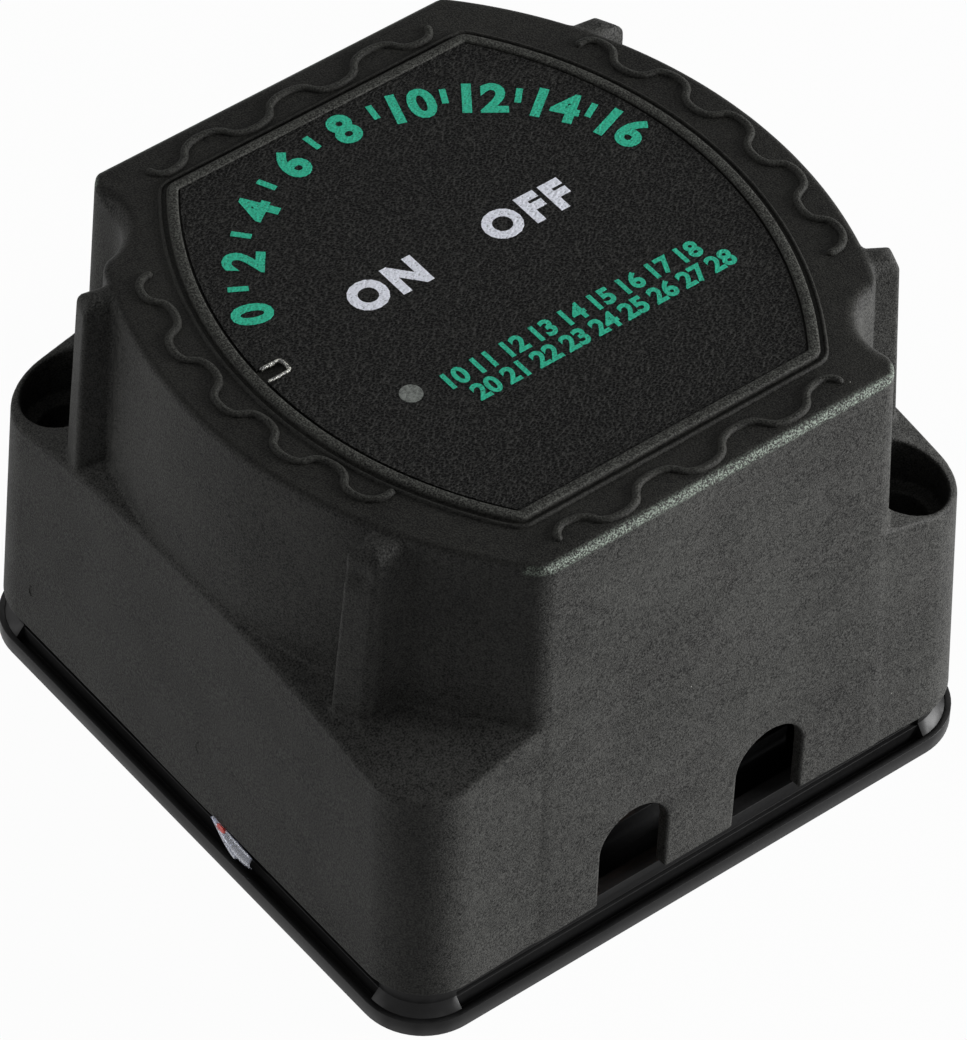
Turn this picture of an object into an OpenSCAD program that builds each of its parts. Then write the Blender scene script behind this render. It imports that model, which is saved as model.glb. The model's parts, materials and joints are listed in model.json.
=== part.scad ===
// Battery isolator relay: a voltage sensing relay in a square two-piece moulded case.
// Millimetres. The origin is the middle of the underside, +Z is up, and the two cable arches face -Y.
// The case looks the same after half a turn about Z, apart from the arches and the print on the label.

/* [Base tray] */
// Side of the square outline of the tray
tray_size = 68; // [66:0.5:72]
// Radius of the tray's corners
tray_corner_r = 6.5; // [5:0.1:8]
// Thickness of the tray's floor
tray_floor_t = 2.2; // [1.8:0.1:3]
// Height of the thin lip round the edge
lip_h = 1.8; // [1.2:0.1:2.2]
// Thickness of the thin lip
lip_t = 0.6; // [0.4:0.1:0.9]
// Thickness left under the channel behind the lip
channel_floor_t = 0.8; // [0.6:0.1:1.2]
// Width of the channel behind the lip
channel_w = 0.9; // [0.6:0.1:1.2]
// Height of the step inside the channel
step_h = 2.6; // [2.3:0.1:3]
// Width of the step
step_w = 0.45; // [0.3:0.05:0.8]
// Height of the upright rim inside the step
rim_h = 4.4; // [3.5:0.1:4.8]
// Thickness of the upright rim
rim_t = 1.6; // [1:0.1:2.4]
// Height at which the corner blocks begin to slope inwards
block_slope_z = 1; // [0.5:0.1:1.8]
// Height at which the corner blocks stop sloping
block_shoulder_z = 2.8; // [2:0.1:4]
// Width of the upright tabs that locate the cover
tab_w = 12; // [8:0.5:16]
// Thickness of the locating tabs
tab_t = 1.5; // [1:0.1:2]
// Height of the locating tabs
tab_h = 10; // [7:0.5:14]

/* [Cover] */
// Height of the cover's bottom edge above the mounting surface
cover_bottom_z = 5; // [4.6:0.1:6]
// Distance from the tray's edge in to the cover's bottom edge
cover_setback = 0.4; // [0.2:0.05:1]
// Radius of the cover's corners at the bottom edge
cover_corner_r = 6.4; // [5:0.1:8]
// Wall of the cover
cover_wall = 2; // [1.5:0.1:2.5]
// Height of the top face
cover_top_z = 52.9; // [50:0.1:56]
// Draft of the front and back faces, in degrees
front_draft = 2.6; // [1:0.1:4]
// Draft of the left and right faces below the ledges, in degrees
side_draft = 1.2; // [0.5:0.1:2]
// Height of the ledges where the round walls stand on them
ledge_z = 33; // [30:0.5:36]
// Fall of the ledges towards the corners, in degrees
ledge_fall = 20; // [10:1:25]
// Distance along X from the middle to the centre of each round wall
arc_centre_x = 14.35; // [13:0.05:16]
// Distance along Y from the middle to the centre of each round wall
arc_centre_y = 1.2; // [0:0.1:2]
// Distance from the cover's side in to the foot of a round wall, at the middle of the side
arc_setback = 0.75; // [0.5:0.05:1.5]
// Draft of the round walls, in degrees
arc_draft = 2.5; // [1:0.1:4]
// Rounding of the top edge
top_fillet_r = 1.7; // [0.8:0.1:2.4]

/* [Ribs on the round walls] */
// Distance from the cover's side in to the middle of the rib beside a pocket
rib_pocket_inset = 15.2; // [14.5:0.1:16]
// Distance from the cover's side in to the middle of the rib over a wide ledge
rib_ledge_inset = 13.4; // [12:0.1:15]
// Width of a rib
rib_w = 3.2; // [2:0.1:4]
// How far a rib stands out of the wall at its foot
rib_foot_out = 2.5; // [1:0.1:2.6]
// How far a rib stands out of the wall at its top
rib_top_out = 2.7; // [0.8:0.1:3]
// Slope across the outer end of a rib's top
rib_nose = 0.8; // [0.4:0.1:2]
// Distance from the top face down to the rib's top
rib_drop = 0.5; // [0.3:0.1:3]

/* [Mounting pockets] */
// Distance from two sides of the tray in to each mounting screw
mount_inset = 7; // [6.5:0.1:7.5]
// Radius of the hole for the mounting screw
mount_hole_r = 3.25; // [2.5:0.05:3.4]
// Radius of the pocket that takes the screw's head
pocket_r = 5; // [4.5:0.1:5.4]
// Height of the floor of the pocket
pocket_floor_z = 26.7; // [22:0.1:28]
// Thickness of the floor of the pocket
pocket_floor_t = 2.2; // [1.5:0.1:3]
// Outer radius of the tube below the pocket
post_r = 5.2; // [4.6:0.1:5.6]
// Outer radius of the boss in the tray
tray_boss_r = 4.2; // [4:0.1:4.3]
// Height of the boss in the tray
tray_boss_h = 8; // [6:0.5:12]

/* [Cable arches] */
// Width of an arch
arch_w = 7.9; // [7:0.1:9]
// Height at which the arch begins to round over
arch_spring_z = 11.7; // [10:0.1:13]

/* [Label] */
// Distance from the tray's front edge in to the label film
label_inset_y = 9.3; // [9:0.1:12]
// Distance from the tray's side in to the round side of the label film
label_inset_x = 9.5; // [9:0.1:12]
// Radius of the round sides of the label film
label_arc_r = 41; // [38:0.5:44]
// Thickness of the label film
film_t = 0.35; // [0.2:0.05:0.5]
// Gap round the label film
film_gap = 0.25; // [0.15:0.05:0.4]
// Width of the raised border round the label
border_w = 1.8; // [1.2:0.1:2.2]
// Height of the raised border
border_h = 0.5; // [0.4:0.05:0.8]
// Depth of the film's face below the border
film_sink = 0.15; // [0.05:0.05:0.2]
// Length of the small key that the border sends into the label
key_l = 2.4; // [1.5:0.1:3]
// Width of the small key
key_w = 1.4; // [1:0.1:2]
// Distance from the middle to the key, along Y
key_y = 1.4; // [0:0.1:3]

/* [Indicator] */
// Place of the indicator along X
led_x = -15.2; // [-17:0.1:-13]
// Place of the indicator along Y
led_y = -8; // [-10:0.1:-6]
// Radius of the lens in the top face
lens_r = 1.1; // [0.8:0.1:1.5]
// Radius of the flange below the top face
lens_flange_r = 2; // [1.8:0.1:3]
// Thickness of the lens's flange
lens_flange_t = 0.6; // [0.4:0.1:1]
// Radius of the indicator lamp on the board
led_r = 1.5; // [1:0.1:2.5]
// Height of the indicator lamp
led_h = 3.6; // [2:0.1:4]

/* [Relay housing] */
// Place of the relay's axis along Y
relay_y = 4; // [3.5:0.1:4.5]
// Gap between the bars and the side walls of the contact chamber
chamber_gap = 0.5; // [0.3:0.1:1]
// Distance from the housing's side in to the pillars
pillar_inset = 3; // [2.8:0.1:3.2]
// Distance from the yoke's side out to the pillars
pillar_gap = 3.5; // [3.3:0.1:3.8]
// Depth of the housing along Y
housing_d = 36; // [35:0.5:37]
// Height of the housing's top
housing_top_z = 20; // [19:0.5:21]
// Wall of the housing
housing_wall = 2; // [1.5:0.1:2.4]
// Depth of the terminal shelf in front of the housing
shelf_d = 13.5; // [13:0.5:14]
// How far the terminal shelf reaches past the bars on each side
shelf_side = 1.5; // [1:0.1:2.5]
// Width of the lugs at the housing's corners
lug_w = 9; // [8:0.5:9.5]
// Thickness of the fin between the two terminals
fin_t = 1.6; // [1:0.1:2]

/* [Terminals] */
// Distance from the middle to each stud, along X
stud_x = 8; // [7.5:0.1:8.5]
// Distance from the middle to the studs, along -Y
stud_y = 20.5; // [20:0.1:21]
// Radius of the studs
stud_r = 3; // [2.5:0.1:3]
// Length of the stud above the terminal bar
stud_l = 18; // [16:0.5:20]
// Chamfer at the stud's end
stud_chamfer = 0.6; // [0.3:0.1:1]
// Width of the square head under the bar
stud_head_w = 9; // [8:0.1:9.5]
// Height of the square head
stud_head_h = 2.6; // [2:0.1:3]
// Gap between the fin and a terminal bar
bar_gap = 1.2; // [1:0.1:2]
// Thickness of a terminal bar
bar_t = 2; // [1.5:0.1:2.5]
// Height of the underside of the bars
bar_z = 6.2; // [5.5:0.1:6.5]
// Thickness of the flat washers
washer_t = 1.2; // [1:0.1:1.6]
// Thickness of the spring washers
spring_washer_t = 1.5; // [1:0.1:2]
// Width of the split in a spring washer
split_w = 0.5; // [0.3:0.1:1]
// Turn of the split from the X axis, in degrees
split_turn = -60; // [-90:5:0]
// Width across the flats of the nuts
nut_af = 10; // [9:0.1:10]
// Height of the nuts
nut_h = 5; // [4:0.1:5]

/* [Contacts] */
// Gap between the open contacts
contact_gap = 1.5; // [1:0.1:2]
// Radius of a contact button
contact_r = 3.2; // [2.5:0.1:3.6]
// Height of a contact button
contact_h = 1.1; // [0.8:0.1:1.4]
// How far the contact bridge reaches past the contact buttons
bridge_out = 0.8; // [0.4:0.1:1.5]
// Width of the contact bridge
bridge_w = 8; // [7:0.1:9]
// Thickness of the contact bridge
bridge_t = 2; // [1.5:0.1:2.2]

/* [Coil and armature] */
// Radius of the plunger shaft
shaft_r = 1.5; // [1.2:0.1:1.8]
// Radius of the collar on the shaft
collar_r = 3.2; // [2.8:0.1:3.6]
// Thickness of the collar
collar_t = 1.2; // [0.8:0.1:1.6]
// Thickness of the steel of the yoke
yoke_t = 2; // [1.5:0.1:2.5]
// Depth of the yoke's foot plate along Y
yoke_foot_d = 30; // [29:0.5:31]
// Depth of the yoke's cheeks along Y
yoke_cheek_d = 18; // [16:0.5:19]
// Radius of the fixed core
core_r = 5.5; // [5:0.1:6]
// Radius of the core's spigot in the foot plate
core_spigot_r = 4; // [3.5:0.1:4.5]
// Radius of the well for the return spring
spring_well_r = 3.8; // [3.4:0.1:4]
// Depth of the well for the return spring
spring_well_d = 6.5; // [5:0.1:8]
// Wall of the bobbin's tube
bobbin_wall = 1; // [0.8:0.1:1.4]
// Gap between the bobbin's flanges and the yoke's cheeks
flange_gap = 1; // [0.7:0.1:1.5]
// Thickness of the bobbin's flanges
flange_t = 1; // [0.8:0.1:1.4]
// How far the flanges reach past the wound coil
flange_out = 1.2; // [0.9:0.1:2.5]
// Thickness of the tape round the coil
tape_t = 0.25; // [0.15:0.05:0.4]
// Thickness of the armature plate
armature_t = 2.5; // [2:0.1:3]
// Gap left under the armature when it is pulled in
pole_gap = 0.2; // [0.1:0.05:0.3]
// Radius of a coil pin
pin_r = 0.45; // [0.3:0.05:0.6]

/* [Springs] */
// Outer radius of the return spring
return_spring_r = 3.3; // [3:0.1:3.5]
// Outer radius of the contact spring
contact_spring_r = 3; // [2.6:0.1:3.2]
// Thickness of the wire of both springs
spring_wire = 0.7; // [0.5:0.1:0.9]

/* [Circuit board] */
// Width of the board along Y
board_w = 40; // [39:0.5:40.5]
// Thickness of the board
board_t = 1.6; // [1:0.1:2]
// Distance from the top face down to the board's underside
board_drop = 8.9; // [8.5:0.1:9.4]
// Gap between the armature and the board
board_gap = 3.3; // [2.5:0.1:4]
// Distance from the relay's axis to the pillars along Y
pillar_y = 14.2; // [14:0.1:14.5]
// Width across the flats of the pillars
pillar_af = 5; // [4.5:0.1:5.2]
// Radius of the board and housing screws
screw_r = 1.5; // [1.25:0.05:1.6]
// Radius of the screw heads
screw_head_r = 2.7; // [2.4:0.1:2.8]
// Height of the screw heads
screw_head_h = 1.4; // [1:0.1:1.6]
// Radius of the sensing wires
sense_wire_r = 0.6; // [0.4:0.05:0.8]
// Radius of the earth wire
earth_wire_r = 0.8; // [0.6:0.05:1]
// How far pins and wires stand out of the board
solder_out = 1; // [0.6:0.1:1.5]

/* [Board components] */
// Length, width and height of the control chip
chip_size = [4.9, 3.9, 1.6];
// Width, thickness and height of the driver transistor's case
transistor_size = [6.5, 6.1, 2.3];
// Length, width and height of a chip resistor
resistor_size = [2, 1.25, 0.6];
// Length, width and height of a chip capacitor
capacitor_size = [2, 1.25, 1.1];
// Length, width and height of the flyback diode
diode_size = [4.6, 2.6, 2.2];
// Radius of the smoothing capacitor
can_r = 3.15; // [2.5:0.05:4]
// Height of the smoothing capacitor
can_h = 4.6; // [3:0.1:5]

/* [Earth terminal] */
// Width of the earth blade
blade_w = 6.3; // [4.8:0.1:6.3]
// Thickness of the earth blade
blade_t = 0.8; // [0.5:0.1:1]
// Height of the blade above its foot
blade_h = 8; // [6:0.5:10]
// Distance from the tray's left side in to the blade
blade_inset_x = 12.5; // [11.5:0.1:13.5]
// Distance from the tray's front side in to the blade
blade_inset_y = 12; // [11:0.1:13]
// Length of the blade's foot along Y
blade_foot_l = 9; // [8:0.1:10]
// Height of the boss that carries the blade
blade_boss_h = 3.6; // [3:0.1:5]

/* [Hidden] */
// All clearances of the assembly
seat_gap = 0.05;
tray_gap = 0.3;
running_gap = 0.05;
hole_gap = 0.1;
// Overrun of every cut
over = 0.5;
// Roundness of the drawn circles
$fn = 72;
arc_fn = 240;
fillet_steps = 5;

// Tray
tray_half = tray_size / 2;
block_centre = tray_half - tray_corner_r;
mount_offset = tray_half - mount_inset;
step_half = tray_half - lip_t - channel_w;
rim_half = step_half - step_w;
rim_inner_half = rim_half - rim_t;
block_top_z = cover_bottom_z - seat_gap;

// Cover
cover_half = tray_half - cover_setback;
arc_foot_r = cover_half - arc_setback + arc_centre_x;
tab_y = front_half(tab_h) - cover_wall - tray_gap;
tab_x = side_half(tab_h) - cover_wall - tray_gap;
inner_top_z = cover_top_z - cover_wall;
ledge_wall = cover_wall / cos(ledge_fall);
arch_r = arch_w / 2;
label_half_y = tray_half - label_inset_y;
label_half_x = tray_half - label_inset_x;
border_half_y = label_half_y + border_w;
border_half_x = label_half_x + border_w + film_gap;
border_arc_r = label_arc_r + border_w - film_gap;
border_z = cover_top_z + border_h;
film_z = border_z - film_sink - film_t;
lens_z0 = inner_top_z - lens_flange_t;
lens_z1 = film_z + film_t;

// Terminals and relay housing
bar_w = 2 * (stud_x - fin_t / 2 - bar_gap);
washer_r = bar_w / 2;
spring_washer_r = washer_r * 0.9;
chamber_half_x = stud_x + bar_w / 2 + chamber_gap;
yoke_w = 2 * (chamber_half_x + housing_wall);
pillar_x = yoke_w / 2 + pillar_gap;
housing_w = 2 * (pillar_x + pillar_inset);
shelf_w = 2 * (stud_x + bar_w / 2 + shelf_side);
housing_y0 = relay_y - housing_d / 2;
housing_y1 = relay_y + housing_d / 2;
shelf_y0 = housing_y0 - shelf_d;
chamber_half_y = yoke_cheek_d / 2;
bar_top_z = bar_z + bar_t;
bar_y0 = -stud_y - bar_w / 2;
bar_y1 = relay_y + contact_r + housing_wall / 2;

// Contacts and armature, from the terminal bars upwards
fixed_contact_z = bar_top_z + contact_h;
moving_contact_z = fixed_contact_z + contact_gap;
bridge_z = moving_contact_z + contact_h;
bridge_top_z = bridge_z + bridge_t;
collar_z = housing_top_z - seat_gap * 2 - collar_t;
clip_t = contact_h / 2;
clip_z = bridge_z - clip_t;
shaft_z0 = clip_z - clip_t;
foot_top_z = housing_top_z + yoke_t;
board_z = cover_top_z - board_drop;
armature_top_z = board_z - board_gap;
armature_z = armature_top_z - armature_t;
pole_z = armature_z - contact_gap - pole_gap;
bridge_l = 2 * (stud_x + contact_r + bridge_out);
well_z = pole_z - spring_well_d;
flange_r = yoke_w / 2 - yoke_t - flange_gap;
coil_r = flange_r - flange_out;
bobbin_r = core_r + hole_gap;
tube_r = bobbin_r + bobbin_wall;
flange_low_z = foot_top_z + seat_gap;
flange_high_z = pole_z - flange_t - hole_gap;
pin_x = flange_r * 0.3;
pin_y = relay_y - yoke_cheek_d / 2 - 2.5 * bobbin_wall;

// Board
board_l = housing_w;
board_top_z = board_z + board_t;
wire_top_z = board_top_z + solder_out;
sense_x = stud_x + bar_w / 2 - 2.5 * sense_wire_r;
sense_y = housing_y0 - 2.5 * sense_wire_r;
pillar_low_y = relay_y - pillar_y;
pillar_high_y = relay_y + pillar_y;
screw_depth = 3.6 * screw_r;
// Places of the components, as shares of the board's length and width
chip_place_shares = [0.06, 0.2];
transistor_place_shares = [0.27, -0.12];
diode_place_shares = [-0.12, -0.34];
can_place_shares = [0.06, -0.32];
resistor_row_shares = [[-0.16, 0.02], [0.22, 0.12]];
resistor_step_share = 0.09;
capacitor_row_shares = [-0.26, 0.04];
capacitor_step_share = 0.12;

// Earth terminal
blade_x = tray_half - blade_inset_x;
blade_y = tray_half - blade_inset_y;
blade_foot_z = tray_floor_t + blade_boss_h;
earth_x = -blade_x + blade_w * 0.2;
earth_y = -blade_y + blade_foot_l * 0.38;

// Colours
black_plastic = [0.16, 0.16, 0.155];
gloss_black = [0.1, 0.1, 0.1];
label_black = [0.06, 0.06, 0.065];
relay_black = [0.06, 0.06, 0.065];
copper = [0.78, 0.45, 0.3];
steel = [0.66, 0.67, 0.69];
dark_steel = [0.42, 0.43, 0.46];
silver = [0.86, 0.87, 0.88];
brass = [0.8, 0.66, 0.35];
bobbin_white = [0.9, 0.89, 0.84];
tape_yellow = [0.86, 0.72, 0.25];
board_green = [0.08, 0.36, 0.2];

// Shapes that repeat

module box(x0, x1, y0, y1, z0, z1) {
    translate([x0, y0, z0])
        cube([x1 - x0, y1 - y0, z1 - z0]);
}

module rod(r, z0, z1) {
    translate([0, 0, z0])
        cylinder(r = r, h = z1 - z0);
}

// A square with round corners
module round_square(half, r) {
    square([2 * half, 2 * (half - r)], center = true);
    square([2 * (half - r), 2 * half], center = true);
    for (x = [-1, 1], y = [-1, 1])
        translate([x * (half - r), y * (half - r)])
            circle(r = r);
}

// A wall that follows the square outline, between two heights
module square_ring(outer_half, inner_half, z0, z1) {
    translate([0, 0, z0])
        linear_extrude(height = z1 - z0)
            difference() {
                round_square(outer_half, tray_corner_r - tray_half + outer_half);
                round_square(inner_half, tray_corner_r - tray_half + inner_half);
            }
}

// Places its children at one mounting screw and at the other, half a turn away
module at_mounts() {
    for (turn = [0, 180])
        rotate([0, 0, turn])
            translate([mount_offset, -mount_offset, 0])
                children();
}

// Places its children at the two studs
module at_studs() {
    for (side = [-1, 1])
        translate([side * stud_x, -stud_y, 0])
            children();
}

// Places its children at the four pillars
module at_pillars() {
    for (side = [-1, 1], y = [pillar_low_y, pillar_high_y])
        translate([side * pillar_x, y, 0])
            children();
}

// Places its children on the relay's axis
module on_axis() {
    translate([0, relay_y, 0])
        children();
}

// Hexagon by the width across its flats, with its round hole
module hex_ring(af, r, z0, z1) {
    translate([0, 0, z0])
        difference() {
            cylinder(r = af / sqrt(3), h = z1 - z0, $fn = 6);
            translate([0, 0, -over])
                cylinder(r = r, h = z1 - z0 + 2 * over);
        }
}

module washer(outer_r, inner_r, z0, t) {
    translate([0, 0, z0])
        difference() {
            cylinder(r = outer_r, h = t);
            translate([0, 0, -over])
                cylinder(r = inner_r, h = t + 2 * over);
        }
}

// Screw with a flat round head, its axis on Z; the head lies above the thread when up is 1
module screw(head_z, thread_l, up) {
    translate([0, 0, head_z])
        mirror([0, 0, up > 0 ? 0 : 1]) {
            cylinder(r = screw_head_r, h = screw_head_h);
            translate([0, 0, -thread_l])
                cylinder(r = screw_r, h = thread_l + screw_head_h / 2);
        }
}

// Base tray

// Corner block: a round corner that slopes in and then carries the cover
module corner_block() {
    slope_in = lip_t + channel_w;
    intersection() {
        translate([block_centre, block_centre, 0])
            rotate_extrude()
                polygon([
                    [0, 0],
                    [tray_corner_r, 0],
                    [tray_corner_r, block_slope_z],
                    [tray_corner_r - slope_in, block_shoulder_z],
                    [tray_corner_r - slope_in, block_top_z],
                    [0, block_top_z]
                ]);
        box(block_centre, tray_half + over, block_centre, tray_half + over, 0, cover_bottom_z);
    }
}

module base_tray() {
    color(gloss_black)
        difference() {
            union() {
                linear_extrude(height = channel_floor_t)
                    round_square(tray_half, tray_corner_r);
                linear_extrude(height = tray_floor_t)
                    round_square(step_half, tray_corner_r - tray_half + step_half);
                square_ring(tray_half, tray_half - lip_t, 0, lip_h);
                square_ring(step_half, rim_inner_half, 0, step_h);
                square_ring(rim_half, rim_inner_half, 0, rim_h);
                for (turn = [0 : 90 : 270])
                    rotate([0, 0, turn])
                        corner_block();
                at_mounts()
                    rod(tray_boss_r, 0, tray_boss_h);
                locating_tabs();
                earth_boss();
            }
            at_mounts()
                rod(mount_hole_r, -over, tray_boss_h + over);
            at_pillars() {
                rod(screw_r + hole_gap, -over, tray_floor_t + over);
                rod(screw_head_r + hole_gap, -over, screw_head_h + hole_gap);
            }
        }
}

// Upright tabs just inside the cover's left, right and back walls
module locating_tabs() {
    for (side = [-1, 1])
        translate([side * (tab_x - tab_t / 2), 0, 0])
            box(-tab_t / 2, tab_t / 2, -tab_w / 2, tab_w / 2, 0, tab_h);
    box(-tab_w / 2, tab_w / 2, tab_y - tab_t, tab_y, 0, tab_h);
}

// Boss in the front left corner that carries the earth blade
module earth_boss() {
    box(-blade_x - blade_w / 2, -blade_x + blade_w / 2,
        -blade_y - blade_foot_l / 2, -blade_y + blade_foot_l / 2,
        0, blade_foot_z);
}

// Relay housing

module relay_housing() {
    chamber_top = housing_top_z + over;
    color(relay_black)
        difference() {
            union() {
                box(-housing_w / 2, housing_w / 2, housing_y0, housing_y1, tray_floor_t, housing_top_z);
                box(-shelf_w / 2, shelf_w / 2, shelf_y0, housing_y0 + over, tray_floor_t, bar_z);
                box(-fin_t / 2, fin_t / 2, shelf_y0, housing_y0 + over, tray_floor_t, housing_top_z);
            }
            // Chamber of the contacts
            box(-chamber_half_x, chamber_half_x, relay_y - chamber_half_y, relay_y + chamber_half_y,
                bar_z, chamber_top);
            // Ways of the two terminal bars through the front wall
            for (side = [-1, 1])
                box(side * stud_x - bar_w / 2 - hole_gap, side * stud_x + bar_w / 2 + hole_gap,
                    housing_y0 - over, relay_y, bar_z, bar_top_z + hole_gap);
            // Square wells of the stud heads
            at_studs()
                box(-stud_head_w / 2 - hole_gap, stud_head_w / 2 + hole_gap,
                    -stud_head_w / 2 - hole_gap, stud_head_w / 2 + hole_gap,
                    bar_z - stud_head_h - hole_gap, bar_z + over);
            // Screws from below, and the pillars' threads from above
            at_pillars() {
                rod(screw_r + running_gap, tray_floor_t - over, tray_floor_t + screw_depth + hole_gap);
                rod(screw_r + running_gap, housing_top_z - screw_depth - hole_gap, chamber_top);
            }
            at_yoke_screws()
                rod(screw_r + running_gap, housing_top_z - screw_depth - hole_gap, chamber_top);
            // Recesses in both sides, which leave a lug at each corner
            for (turn = [0, 180])
                on_axis()
                    rotate([0, 0, turn])
                        box(chamber_half_x + housing_wall, housing_w / 2 + over,
                            -pillar_y + lug_w / 2, pillar_y - lug_w / 2,
                            tray_floor_t + housing_wall, chamber_top);
        }
}

// Four screws from under the tray into the housing
module housing_screws() {
    color(steel)
        at_pillars()
            screw(screw_head_h + hole_gap / 2, tray_floor_t - screw_head_h + screw_depth, -1);
}

// Terminals

module terminal_bar(side) {
    color(copper)
        difference() {
            box(side * stud_x - bar_w / 2, side * stud_x + bar_w / 2, bar_y0, bar_y1, bar_z, bar_top_z);
            translate([side * stud_x, -stud_y, 0])
                rod(stud_r + running_gap, bar_z - over, bar_top_z + over);
        }
}

module terminal_stud(side) {
    tip_z = bar_top_z + stud_l;
    color(brass)
        translate([side * stud_x, -stud_y, 0]) {
            box(-stud_head_w / 2, stud_head_w / 2, -stud_head_w / 2, stud_head_w / 2,
                bar_z - stud_head_h, bar_z);
            rod(stud_r, bar_z - stud_head_h / 2, tip_z - stud_chamfer);
            translate([0, 0, tip_z - stud_chamfer])
                cylinder(r1 = stud_r, r2 = stud_r - stud_chamfer, h = stud_chamfer);
        }
}

module flat_washers() {
    color(silver)
        at_studs()
            washer(washer_r, stud_r + running_gap * 2, bar_top_z, washer_t);
}

// Split rings, cut through at one place
module spring_washers() {
    ring_z = bar_top_z + washer_t;
    color(dark_steel)
        at_studs()
            difference() {
                washer(spring_washer_r, stud_r + running_gap * 2, ring_z, spring_washer_t);
                rotate([0, 0, split_turn])
                    box(0, spring_washer_r + over, -split_w / 2, split_w / 2,
                        ring_z - over, ring_z + spring_washer_t + over);
            }
}

module terminal_nuts() {
    nut_z = bar_top_z + washer_t + spring_washer_t;
    color(silver)
        at_studs()
            rotate([0, 0, 30])
                hex_ring(nut_af, stud_r + running_gap * 2, nut_z, nut_z + nut_h);
}

module fixed_contacts() {
    color(silver)
        for (side = [-1, 1])
            translate([side * stud_x, relay_y, 0])
                rod(contact_r, bar_top_z, fixed_contact_z);
}

// Yoke, core and coil

module at_yoke_screws() {
    for (side = [-1, 1], way = [-1, 1])
        translate([side * (yoke_w / 2 - 1.8 * screw_head_r),
            relay_y + way * (yoke_foot_d / 2 - 1.2 * screw_head_r), 0])
            children();
}

// Steel U: a foot plate and two upright cheeks
module yoke() {
    color(dark_steel)
        difference() {
            on_axis() {
                box(-yoke_w / 2, yoke_w / 2, -yoke_foot_d / 2, yoke_foot_d / 2, housing_top_z, foot_top_z);
                for (side = [-1, 1])
                    translate([side * (yoke_w / 2 - yoke_t / 2), 0, 0])
                        box(-yoke_t / 2, yoke_t / 2, -yoke_cheek_d / 2, yoke_cheek_d / 2,
                            housing_top_z, pole_z);
            }
            on_axis()
                rod(core_spigot_r + running_gap, housing_top_z - over, foot_top_z + over);
            at_yoke_screws()
                rod(screw_r + hole_gap, housing_top_z - over, foot_top_z + over);
        }
}

module yoke_screws() {
    color(steel)
        at_yoke_screws()
            screw(foot_top_z, yoke_t + screw_depth, 1);
}

// Steel tube that guides the shaft; the return spring stands in the well at its top
module fixed_core() {
    color(steel)
        on_axis()
            difference() {
                union() {
                    rod(core_r, foot_top_z, pole_z);
                    rod(core_spigot_r, housing_top_z, foot_top_z + over);
                }
                rod(shaft_r + running_gap, housing_top_z - over, pole_z + over);
                rod(spring_well_r, well_z, pole_z + over);
            }
}

module coil_bobbin() {
    color(bobbin_white)
        on_axis()
            difference() {
                union() {
                    rod(tube_r, flange_low_z, flange_high_z + flange_t);
                    rod(flange_r, flange_low_z, flange_low_z + flange_t);
                    rod(flange_r, flange_high_z, flange_high_z + flange_t);
                }
                rod(bobbin_r, flange_low_z - over, pole_z + over);
            }
}

module coil_winding() {
    color(copper)
        on_axis()
            washer(coil_r, tube_r + running_gap, flange_low_z + flange_t + running_gap,
                flange_high_z - flange_low_z - flange_t - 2 * running_gap);
}

module winding_tape() {
    color(tape_yellow)
        on_axis()
            washer(coil_r + running_gap + tape_t, coil_r + running_gap,
                flange_low_z + flange_t + running_gap,
                flange_high_z - flange_low_z - flange_t - 2 * running_gap);
}

// Two pins that carry the coil's current up to the board
module coil_pins() {
    color(silver)
        for (side = [-1, 1])
            translate([side * pin_x, pin_y, 0])
                rod(pin_r, flange_high_z + flange_t, wire_top_z);
}

// Armature, shaft and contact bridge

module armature_plate() {
    color(dark_steel)
        difference() {
            on_axis()
                box(-yoke_w / 2, yoke_w / 2, -yoke_cheek_d / 2, yoke_cheek_d / 2,
                    armature_z, armature_top_z);
            on_axis()
                rod(shaft_r * 0.75 + running_gap, armature_z - over, armature_top_z + over);
        }
}

// Shaft with its collar; the armature is riveted on the thin end at the top
module plunger_shaft() {
    rivet_r = shaft_r * 1.6;
    color(steel)
        on_axis() {
            rod(shaft_r, shaft_z0, armature_z);
            rod(shaft_r * 0.75, armature_z - over, armature_top_z + shaft_r / 2);
            rod(rivet_r, armature_top_z, armature_top_z + shaft_r / 2);
            rod(collar_r, collar_z, collar_z + collar_t);
        }
}

module contact_bridge() {
    color(copper)
        difference() {
            on_axis()
                box(-bridge_l / 2, bridge_l / 2, -bridge_w / 2, bridge_w / 2, bridge_z, bridge_top_z);
            on_axis()
                rod(shaft_r + running_gap, bridge_z - over, bridge_top_z + over);
        }
}

module moving_contacts() {
    color(silver)
        for (side = [-1, 1])
            translate([side * stud_x, relay_y, 0])
                rod(contact_r, moving_contact_z, bridge_z);
}

module contact_spring() {
    color(steel)
        on_axis()
            washer(contact_spring_r, contact_spring_r - spring_wire, bridge_top_z, collar_z - bridge_top_z);
}

module shaft_clip() {
    color(dark_steel)
        on_axis()
            washer(shaft_r * 2, shaft_r + running_gap, clip_z, clip_t);
}

module return_spring() {
    color(steel)
        on_axis()
            washer(return_spring_r, return_spring_r - spring_wire, well_z, armature_z - well_z);
}

// Circuit board and what stands on it

module board_pillars() {
    color(brass)
        at_pillars() {
            difference() {
                translate([0, 0, housing_top_z])
                    cylinder(r = pillar_af / sqrt(3), h = board_z - housing_top_z, $fn = 6);
                rod(screw_r + running_gap, board_z - screw_depth, board_z + over);
            }
            rod(screw_r, housing_top_z - screw_depth, housing_top_z + over);
        }
}

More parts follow.
